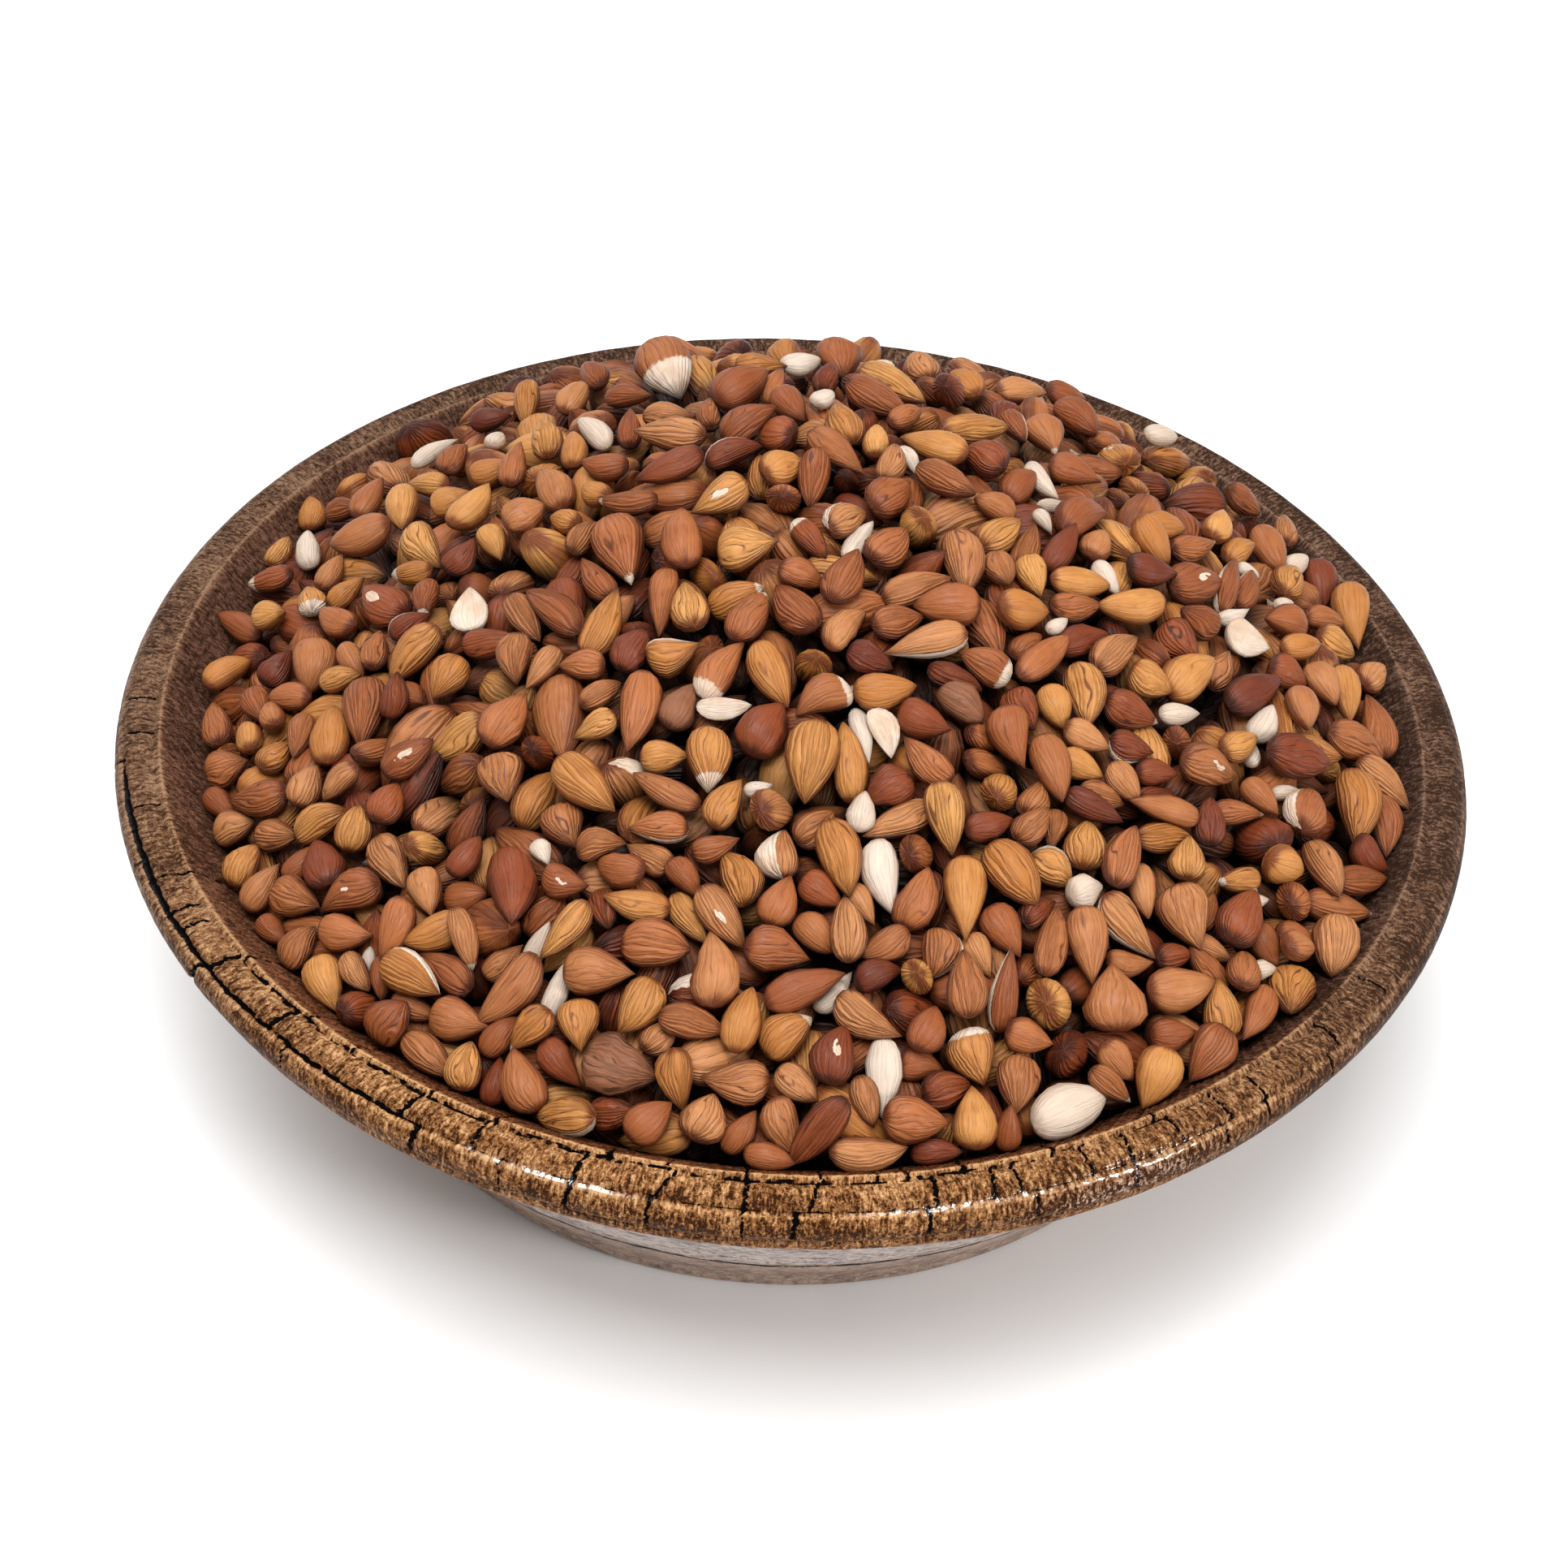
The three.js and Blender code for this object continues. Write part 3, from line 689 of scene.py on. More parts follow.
# kernels that stand out in the photograph, by kind and look: for each the pixel of its middle, across and
# down, the way its tip points in degrees counterclockwise from the right, and its length and width in pixels
placedKernels = {
    ("amber", "plain"): [
        (935, 452, 0, 66, 34), (352, 686, 75, 40, 30), (701, 647, 160, 38, 30), (1579, 718, 40, 55, 45),
        (420, 841, 30, 40, 32), (1459, 833, 40, 75, 58), (733, 898, -150, 48, 38), (1523, 919, 20, 58, 42),
        (1620, 927, -20, 70, 40), (344, 940, 70, 42, 42), (818, 933, 0, 56, 45), (393, 1018, 35, 75, 45),
        (439, 1028, 60, 48, 48), (892, 991, 60, 71, 46), (1430, 1032, 0, 77, 40), (301, 1074, 60, 50, 45),
        (1461, 1068, 90, 54, 48), (1500, 1250, 85, 70, 50),
    ],
    ("amber", "veined"): [
        (1094, 475, -25, 90, 42), (677, 548, 100, 52, 42), (1036, 529, 100, 62, 50), (1197, 529, 8, 98, 40),
        (942, 585, 90, 56, 44), (526, 678, -60, 62, 48), (930, 683, 5, 80, 62), (1232, 660, 40, 64, 48),
        (852, 750, 103, 73, 50), (515, 809, -140, 92, 48), (1171, 787, 200, 52, 46),
        (1641, 799, -20, 54, 44), (550, 840, -110, 60, 50), (1337, 854, -85, 82, 54),
        (723, 969, -50, 97, 59), (1003, 938, -106, 100, 70), (1163, 1008, -68, 90, 52),
        (1333, 1041, 80, 60, 60), (1655, 993, -78, 94, 60), (913, 1083, 100, 72, 54),
        (1030, 1053, -74, 95, 56), (1249, 1078, -60, 97, 64), (702, 1146, 230, 92, 42),
        (787, 1242, 238, 80, 56), (1605, 1237, -90, 73, 62), (582, 1316, 80, 58, 50),
        (839, 1326, -86, 78, 48),
    ],
    ("amber", "smooth"): [
        (1189, 478, 120, 46, 42), (711, 560, 100, 52, 36), (1079, 548, 90, 44, 34), (1154, 559, 150, 88, 46),
        (499, 627, -80, 64, 44), (531, 603, 170, 60, 34), (556, 615, 20, 46, 40), (604, 583, 20, 55, 38),
        (738, 612, 150, 46, 34), (959, 585, 40, 56, 50), (389, 635, 100, 42, 36), (594, 634, 60, 72, 48),
        (604, 668, -60, 46, 38), (1407, 667, -40, 72, 46), (1431, 650, 0, 60, 40), (1496, 653, 60, 50, 40),
        (1525, 678, 20, 50, 36), (427, 732, 40, 46, 30), (1270, 710, -70, 50, 42), (1327, 718, -5, 78, 42),
        (349, 769, 10, 46, 40), (1254, 758, 0, 80, 54), (1399, 752, 175, 84, 46), (1596, 802, 0, 48, 36),
        (1679, 771, -90, 77, 51), (287, 839, 60, 62, 42), (949, 828, -68, 88, 50), (1087, 854, 4, 80, 52),
        (1297, 870, -60, 58, 44), (1653, 850, -80, 68, 42), (314, 911, 125, 50, 36), (415, 916, 90, 78, 52),
        (1043, 946, 100, 96, 46), (1332, 945, -30, 62, 42), (1192, 1106, -97, 108, 56),
        (1572, 1059, -25, 64, 52), (537, 1157, 190, 80, 50), (788, 1119, 175, 86, 44),
        (843, 1126, -45, 76, 40), (402, 1215, -80, 72, 52), (921, 1261, 84, 83, 50),
        (1423, 1320, -120, 75, 61), (1200, 1384, 92, 80, 58),
    ],
    ("amber", "tip"): [
        (652, 500, -100, 58, 34), (907, 742, 20, 74, 51), (1527, 1085, 180, 59, 33),
        (657, 1265, 215, 72, 46), (975, 1288, 48, 72, 58),
    ],
    ("amber", "drip"): [
        (510, 708, 190, 46, 32), (878, 933, -105, 82, 59),
    ],
    ("amber", "cap"): [
        (378, 758, 100, 44, 38), (1196, 1300, -80, 71, 61),
    ],
    ("amber", "torn"): [
        (891, 618, 205, 80, 50),
    ],
    ("amber", "slit"): [
        (827, 808, 10, 70, 52), (1298, 1068, -38, 64, 50), (508, 1212, -30, 84, 56),
        (707, 1372, 170, 88, 50),
    ],
    ("amber", "furrow"): [
        (742, 773, 65, 92, 48), (1416, 838, -30, 60, 50), (715, 1264, -70, 64, 56),
    ],
    ("amber", "end"): [
        (1141, 647, 0, 54, 54), (998, 815, 60, 54, 50), (1235, 978, 40, 61, 50), (529, 1048, 0, 54, 46),
        (1124, 1219, 0, 56, 48), (1293, 1245, 10, 68, 68),
    ],
    ("tan", "plain"): [
        (645, 760, -60, 64, 41), (675, 830, -115, 67, 36), (736, 859, 35, 64, 31), (1507, 830, 70, 55, 42),
        (1689, 833, 40, 45, 40), (1665, 916, -25, 80, 50), (385, 970, 60, 48, 46), (429, 967, -150, 65, 34),
        (823, 977, 155, 94, 38), (1708, 970, -40, 90, 40), (288, 1017, 20, 52, 45), (362, 1115, 20, 68, 55),
    ],
    ("tan", "veined"): [
        (1127, 458, 90, 48, 48), (821, 513, 0, 62, 34), (829, 546, 175, 92, 46), (717, 663, 60, 42, 34),
        (1265, 674, 60, 66, 40), (1580, 657, 80, 52, 34), (1182, 692, -80, 76, 54), (1372, 806, 40, 72, 48),
        (644, 819, -100, 56, 47), (374, 914, -90, 64, 36), (625, 959, -90, 61, 61), (1278, 987, 60, 52, 44),
        (1357, 985, 0, 46, 42), (337, 1033, 10, 55, 42), (698, 1012, -90, 62, 57), (738, 1046, 20, 50, 42),
        (1006, 1025, 40, 62, 48), (1114, 1012, 202, 104, 42), (1266, 1024, 60, 46, 42),
        (1298, 1024, -80, 44, 30), (800, 1062, 140, 66, 42), (1621, 1064, -78, 86, 44),
        (1046, 1150, 98, 82, 48), (1095, 1162, 212, 66, 44), (1453, 1129, -70, 85, 69),
        (372, 1170, 60, 54, 44), (446, 1203, -50, 44, 32), (1186, 1226, 90, 84, 54),
        (1644, 1171, -84, 76, 61), (808, 1283, 40, 48, 42), (852, 1267, -12, 84, 46),
        (1070, 1258, -26, 96, 52), (528, 1297, -45, 76, 46), (909, 1332, 176, 88, 60),
        (1250, 1343, 250, 74, 58), (869, 1381, 60, 66, 62),
    ],
    ("tan", "smooth"): [
        (706, 492, 60, 48, 40), (1253, 484, 10, 68, 38), (685, 607, 120, 62, 50), (1219, 628, 160, 48, 38),
        (448, 670, 200, 80, 52), (1351, 672, 70, 46, 42), (1560, 677, -70, 64, 44), (408, 707, 60, 50, 28),
        (1630, 764, -15, 52, 32), (389, 817, -95, 62, 58), (437, 815, -75, 42, 18), (342, 894, 120, 40, 28),
        (1337, 911, -20, 64, 40), (1586, 881, -80, 54, 44), (1287, 944, -72, 90, 50),
        (1380, 967, -60, 44, 40), (1550, 990, -60, 60, 38), (324, 1097, 55, 70, 42),
        (534, 1100, -70, 60, 46), (1410, 1094, -60, 72, 38), (512, 1131, -20, 62, 42),
        (1003, 1148, -40, 60, 46), (1063, 1112, -70, 60, 34), (1342, 1164, -80, 97, 54),
        (738, 1196, 10, 92, 62), (1207, 1174, -60, 52, 38), (1390, 1189, 0, 46, 30), (1453, 1221, 3, 89, 59),
        (1597, 1187, 50, 58, 42), (566, 1261, -10, 78, 58), (648, 1337, 115, 82, 58),
        (978, 1345, -40, 58, 44), (1375, 1297, -50, 52, 42), (1053, 1412, 8, 100, 48),
    ],
    ("tan", "tip"): [
        (1288, 537, -60, 54, 50), (589, 1151, -80, 74, 30), (1650, 1124, -8, 92, 44),
        (1231, 1190, 100, 40, 20), (1491, 1173, -40, 40, 26), (1361, 1339, -42, 64, 34),
        (962, 1387, -92, 80, 50),
    ],
    ("tan", "halfWhite"): [
        (817, 465, -57, 98, 72),
    ],
    ("tan", "sideWhite"): [
        (952, 1054, 84, 62, 56),
    ],
    ("tan", "cap"): [
        (1016, 859, 200, 78, 50),
    ],
    ("tan", "torn"): [
        (1480, 943, -20, 80, 55), (886, 1128, -54, 90, 50),
    ],
    ("tan", "slit"): [
        (1034, 639, 35, 74, 46), (1145, 789, 196, 102, 46), (1155, 1171, -100, 62, 54),
    ],
    ("tan", "underSlit"): [
        (1390, 1142, -50, 102, 51),
    ],
    ("tan", "rough"): [
        (655, 655, 30, 58, 48), (1039, 775, 52, 66, 44), (1624, 851, -60, 62, 42), (1436, 1001, 165, 94, 38),
        (614, 1181, 35, 56, 36), (878, 1203, 86, 100, 66), (1372, 1241, 100, 84, 82),
    ],
    ("tan", "furrow"): [
        (1028, 557, -50, 86, 42), (1098, 574, 70, 52, 38), (1127, 726, 16, 88, 46), (1230, 707, -75, 48, 42),
        (480, 1062, -60, 70, 50), (1291, 1164, 75, 92, 43), (634, 1222, 227, 112, 54),
        (1525, 1198, 75, 58, 46), (1056, 1356, -80, 54, 38),
    ],
    ("tan", "end"): [
        (955, 1003, 0, 66, 56),
    ],
    ("russet", "plain"): [
        (773, 488, 0, 60, 30), (424, 632, 20, 40, 30), (843, 672, 95, 75, 54), (736, 714, 122, 74, 38),
        (698, 760, 139, 87, 46), (1262, 793, 30, 45, 36), (1697, 897, 100, 80, 45), (1377, 1062, 60, 82, 48),
        (1494, 1198, 125, 74, 34),
    ],
    ("russet", "veined"): [
        (872, 513, 90, 40, 32), (928, 532, 20, 78, 46), (1004, 583, -95, 80, 42), (1168, 604, -30, 92, 44),
        (1036, 722, 62, 82, 50), (1324, 747, 0, 68, 40), (982, 757, 128, 78, 54), (1102, 769, 14, 73, 46),
        (1474, 771, 160, 52, 46), (716, 831, 180, 51, 42), (455, 880, -85, 90, 58), (288, 952, 30, 50, 50),
        (329, 990, 180, 76, 50), (881, 1046, 10, 54, 38), (1672, 1091, 15, 84, 38), (662, 1132, 40, 72, 50),
        (548, 1206, 178, 88, 46), (799, 1171, 2, 88, 64), (486, 1263, 60, 62, 60),
    ],
    ("russet", "smooth"): [
        (923, 486, 45, 74, 58), (972, 500, -60, 55, 42), (1312, 492, -10, 55, 36), (1114, 516, 30, 42, 32),
        (1326, 518, -40, 60, 44), (456, 619, 70, 62, 38), (567, 575, 50, 42, 38), (642, 583, 80, 60, 36),
        (746, 579, 180, 58, 38), (1251, 599, 40, 54, 44), (1320, 591, -20, 70, 42), (1320, 644, 20, 90, 52),
        (985, 711, -20, 54, 40), (290, 780, 170, 76, 36), (421, 772, 160, 70, 40), (1169, 756, 170, 84, 60),
        (1581, 771, 170, 58, 46), (1284, 812, 40, 86, 42), (272, 898, 115, 68, 42), (321, 872, -60, 48, 40),
        (786, 877, -106, 103, 54), (1241, 911, -70, 78, 56), (272, 992, -60, 36, 26),
        (1706, 1016, -75, 82, 48), (369, 1064, 60, 42, 26), (571, 1109, 0, 48, 46), (842, 1083, -50, 48, 38),
        (342, 1147, -50, 40, 28), (429, 1161, 0, 72, 48), (494, 1150, 245, 84, 46), (960, 1112, 70, 68, 50),
        (1234, 1147, -60, 74, 52), (1492, 1132, 80, 58, 26), (1567, 1166, -72, 56, 42),
        (1594, 1157, -20, 46, 34), (469, 1207, -60, 40, 26), (503, 1258, 0, 50, 34), (617, 1284, 40, 50, 40),
        (1134, 1271, 60, 54, 50), (1447, 1284, 0, 50, 44), (1552, 1243, 242, 74, 42),
        (1135, 1317, 0, 64, 44), (1258, 1296, -30, 58, 46), (802, 1382, 30, 70, 54), (914, 1396, 20, 44, 36),
        (1128, 1390, -4, 85, 62), (1241, 1395, 90, 40, 28), (948, 1427, 0, 52, 24),
    ],
    ("russet", "tip"): [
        (741, 470, 130, 58, 38), (1074, 498, -20, 84, 46), (781, 625, 185, 76, 32), (1528, 621, -20, 60, 38),
        (765, 682, -65, 95, 69), (1469, 675, 10, 62, 38), (528, 737, -105, 46, 34), (921, 764, 55, 72, 48),
        (359, 863, 175, 60, 38), (1522, 1004, -15, 66, 31),
    ],
    ("russet", "cap"): [
        (885, 825, 56, 92, 48), (1214, 822, 150, 72, 50),
    ],
    ("russet", "torn"): [
        (1466, 724, 10, 74, 56), (503, 947, 40, 76, 44), (439, 1105, 200, 85, 55), (694, 1088, -20, 60, 44),
    ],
    ("russet", "slit"): [
        (948, 480, 60, 52, 36), (1251, 524, -60, 46, 28), (1509, 724, 65, 78, 32), (1535, 728, 60, 56, 38),
        (813, 1020, 180, 77, 43), (1598, 1012, 60, 62, 60), (1235, 1231, 95, 102, 38),
    ],
    ("russet", "rough"): [
        (1030, 450, -90, 60, 56), (1095, 617, 35, 66, 52), (816, 742, -97, 90, 38), (464, 804, 80, 50, 34),
        (620, 890, 50, 84, 54), (770, 1078, 150, 70, 44), (1130, 1117, 72, 80, 54), (955, 1178, -5, 86, 58),
        (988, 1221, 25, 108, 48),
    ],
    ("russet", "furrow"): [
        (1095, 674, 40, 66, 54), (1204, 908, -5, 64, 32), (1141, 941, 140, 80, 44),
        (1489, 1302, -115, 75, 60),
    ],
    ("russet", "end"): [
        (969, 628, 60, 50, 46), (1447, 921, 0, 50, 46), (471, 939, 0, 38, 38), (1206, 940, 0, 46, 44),
        (1131, 1055, 0, 54, 50), (1588, 1113, 0, 54, 52), (1265, 1200, 0, 41, 41),
    ],
    ("redBrown", "plain"): [
        (1018, 467, 70, 34, 32), (1224, 580, 140, 56, 52), (602, 793, 0, 74, 41), (502, 858, 50, 42, 38),
        (1588, 948, -10, 80, 58), (1446, 1172, 30, 46, 36),
    ],
    ("redBrown", "veined"): [
        (1442, 795, -50, 62, 58), (1257, 876, -60, 50, 50), (1422, 977, 0, 50, 30), (748, 1122, -80, 50, 40),
        (1270, 1115, 20, 50, 34), (1161, 1342, 15, 66, 50),
    ],
    ("redBrown", "smooth"): [
        (961, 537, 160, 54, 52), (1305, 676, 60, 66, 38), (1628, 722, -75, 58, 44), (1586, 836, -20, 54, 46),
        (1133, 890, -25, 72, 52), (475, 990, 60, 48, 48), (1420, 957, 0, 44, 34), (1216, 1018, 0, 71, 41),
        (575, 1063, 60, 44, 40), (1015, 1095, -35, 64, 46), (1682, 1053, -45, 60, 42),
        (606, 1342, 80, 46, 34), (690, 1311, -50, 70, 44),
    ],
    ("redBrown", "tip"): [
        (1391, 878, -25, 74, 50), (1527, 1136, 52, 78, 62),
    ],
    ("redBrown", "drip"): [
        (343, 724, 200, 58, 34),
    ],
    ("redBrown", "cap"): [
        (994, 668, -45, 60, 34),
    ],
    ("redBrown", "torn"): [
        (477, 748, 150, 68, 58), (1019, 1308, 70, 80, 58),
    ],
    ("redBrown", "slit"): [
        (899, 560, 20, 74, 36), (507, 777, 40, 58, 32),
    ],
    ("redBrown", "underSlit"): [
        (1394, 929, -10, 56, 44),
    ],
    ("redBrown", "rough"): [
        (1335, 790, 10, 76, 38), (1177, 833, -15, 74, 32), (946, 906, 60, 78, 70), (1098, 970, 200, 68, 54),
        (403, 1064, 95, 80, 52), (625, 1100, -95, 116, 62),
    ],
    ("redBrown", "furrow"): [
        (776, 529, 90, 56, 32), (829, 592, 200, 92, 42), (760, 1370, 0, 48, 46), (1012, 1394, 228, 106, 48),
    ],
    ("redBrown", "end"): [
        (1161, 501, -60, 50, 48), (665, 924, 0, 48, 48), (454, 1238, 0, 50, 50), (1323, 1297, -70, 74, 64),
    ],
    ("dark", "smooth"): [
        (604, 521, 20, 46, 30), (572, 687, 40, 45, 40), (1415, 707, -15, 68, 44), (1540, 858, 25, 84, 50),
        (1341, 1000, -30, 82, 38), (1083, 1206, 30, 56, 42), (1154, 1416, 0, 66, 26),
    ],
    ("dark", "rough"): [
        (779, 803, 60, 61, 46), (1063, 807, -20, 50, 42), (344, 828, 60, 50, 44), (1492, 1014, 80, 59, 43),
    ],
    ("dark", "end"): [
        (1048, 599, 0, 40, 34),
    ],
    ("blanched", "plain"): [
        (985, 448, 10, 52, 32), (1018, 500, 50, 34, 28), (1087, 456, 170, 38, 28), (530, 562, 40, 68, 24),
        (608, 553, 70, 36, 26), (735, 536, 130, 64, 34), (1121, 564, -60, 42, 20), (1430, 552, 20, 44, 30),
        (1299, 626, 10, 52, 18), (1058, 666, 57, 62, 28), (1283, 643, -40, 36, 18), (1364, 711, -60, 52, 28),
        (1538, 703, -30, 24, 14), (1582, 745, 10, 26, 14), (1598, 699, 30, 40, 28), (1303, 771, 30, 32, 20),
        (1063, 915, -78, 78, 28), (1453, 881, 0, 54, 30), (1552, 892, 60, 46, 38), (934, 974, 10, 34, 16),
        (1546, 931, 60, 26, 24), (1587, 983, 10, 48, 20), (1086, 1080, -84, 94, 50), (660, 1165, 70, 62, 28),
        (453, 1187, 60, 22, 16), (689, 1221, 64, 90, 30), (1022, 1228, 40, 70, 34),
        (1305, 1370, 22, 108, 66),
    ],
    ("blanched", "smooth"): [
        (1280, 591, -60, 60, 28),
    ],
    ("blanched", "half"): [
        (598, 755, 90, 55, 50), (1533, 790, -20, 64, 46), (889, 872, 0, 69, 31), (1090, 903, -70, 62, 38),
    ],
    ("blanched", "rough"): [
        (381, 680, 100, 56, 34), (1522, 760, 20, 46, 22), (1062, 1002, 80, 52, 36), (667, 1050, -60, 34, 26),
        (1336, 1096, 20, 56, 46), (1549, 1111, 0, 26, 24), (1558, 1196, 0, 28, 24),
        (1083, 1328, -80, 98, 44),
    ],
    ("flake", "rough"): [
        (838, 870, 50, 70, 46), (1184, 870, -30, 70, 46),
    ],
    ("flake", "husk"): [
        (765, 1315, -15, 96, 78),
    ],
}
placed = [{"x": x, "y": y, "tip": tip, "length": length, "width": width, "kind": kind, "look": look}
          for (kind, look), group in placedKernels.items() for x, y, tip, length, width in group]

# the looks of the kernels between them, by share
looseLooks = {"plain": 0.42, "veined": 0.28, "smooth": 0.12, "furrow": 0.07, "tip": 0.03, "cap": 0.005,
              "torn": 0.005, "rough": 0.055, "slit": 0.015}


def placedValues(name):
    return np.array([kernel[name] for kernel in placed])


# packing: loose kernels settle on the core as rigid bodies made of six balls each

packing = {
    "perArea": 0.037,  # kernels on each square millimetre of mound
    "size": (12.2, 7.3, 5.7),  # length, width and thickness
    "lying": 0.5,  # scatter of the lying kernels' tilts, in radians
    "upright": 0.16,  # share of the kernels that start at any tilt
    "spread": 0.13,  # relative scatter of their sizes
    "steps": 170,
    "pull": 0.16,  # how far a step pulls each kernel towards the core
    "pinnedGive": 0.12,  # how much the kernels placed by the photograph give way
    "pairsEvery": 8,  # steps between two looks for near pairs
    "calmFrom": 0.8,  # share of the steps after which nothing is pulled any more
    "coreFirm": 0.85,  # share of an overlap with the core and with the wall that a step takes away
    "wallFirm": 0.7,
    "shareOut": 0.6,  # the more balls touch, the less each moves the kernel: their number to this power
    "ease": 1.15,
    "mostMove": 1.2,  # mm a step
    "mostTurn": 0.25,  # radians a step
    "startUnder": 3.0,  # loose kernels start at least this far under the mound and over the core
    "startOver": 2.5,
    "proud": 2.4,  # loose kernels that stand higher than this over the mound are taken off
    "clear": (0.6, -2.5),  # room kept beside and before the placed kernels while the loose ones are set out,
    "clearFilling": (-2.2, 1.2),  # and where hollows are filled
    "clearLast": 0.9,  # room beside them when all has settled, for loose ones and for filling ones
    "clearLastFilling": -1.6,
    "clearLastBefore": 1.2,  # and before them
    "fillTries": 6000,
    "fillDepth": 4.6,  # depth of the kernels that fill the hollows left, and the room they need
    "fillGap": 5.8,
    "fillSize": 0.86,
    "fillSteps": 45,
    "seed": 5,
}
# the six balls of a kernel: places along it as shares of its length, the side they are on, and radii as
# shares of its thickness
ballAlong = np.array([-0.22, -0.22, 0.03, 0.03, 0.25, 0.4])
ballSide = np.array([1, -1, 1, -1, 0, 0])
ballSizes = np.array([0.47, 0.47, 0.455, 0.455, 0.34, 0.17])


def quaternionTurns(q):
    # the rotation matrices of quaternions
    w, x, y, z = q.T
    rows = [[1 - 2 * (y * y + z * z), 2 * (x * y - w * z), 2 * (x * z + w * y)],
            [2 * (x * y + w * z), 1 - 2 * (x * x + z * z), 2 * (y * z - w * x)],
            [2 * (x * z - w * y), 2 * (y * z + w * x), 1 - 2 * (x * x + y * y)]]
    return np.array(rows).transpose(2, 0, 1)


def turned(turns, vectors):
    # rotations turned on by small rotation vectors
    angle = np.linalg.norm(vectors, axis=1, keepdims=True) + 1e-12
    half = angle / 2
    q = np.concatenate([np.cos(half), np.sin(half) * vectors / angle], 1)
    return quaternionTurns(q) @ turns


def nearPairs(centres, reach):
    # pairs of bodies closer than a reach, found through a grid of cells
    cell = np.floor(centres / reach).astype(int)
    cell -= cell.min(0) - 1
    size = cell.max(0) + 2
    key = (cell[:, 0] * size[1] + cell[:, 1]) * size[2] + cell[:, 2]
    order = np.argsort(key, kind="stable")
    ordered = key[order]
    found = []
    for dx in (-1, 0, 1):
        for dy in (-1, 0, 1):
            for dz in (-1, 0, 1):
                other = key + (dx * size[1] + dy) * size[2] + dz
                first = np.searchsorted(ordered, other, "left")
                last = np.searchsorted(ordered, other, "right")
                count = last - first
                a = np.repeat(np.arange(len(key)), count)
                offset = np.arange(len(a)) - np.repeat(np.cumsum(count) - count, count)
                b = order[np.repeat(first, count) + offset]
                found.append(np.stack([a, b], 1)[a < b])
    pairs = np.concatenate(found)
    gap = np.linalg.norm(centres[pairs[:, 0]] - centres[pairs[:, 1]], axis=1)
    return pairs[gap < reach]


def spreadBy(owner, values, count):
    # sums of the values that belong to each owner
    return np.stack([np.bincount(owner, values[:, n], count) for n in range(3)], 1)


def isPlaced(kernels):
    # the placed kernels stand last in every list
    return np.arange(len(kernels)) >= len(kernels) - len(placed)


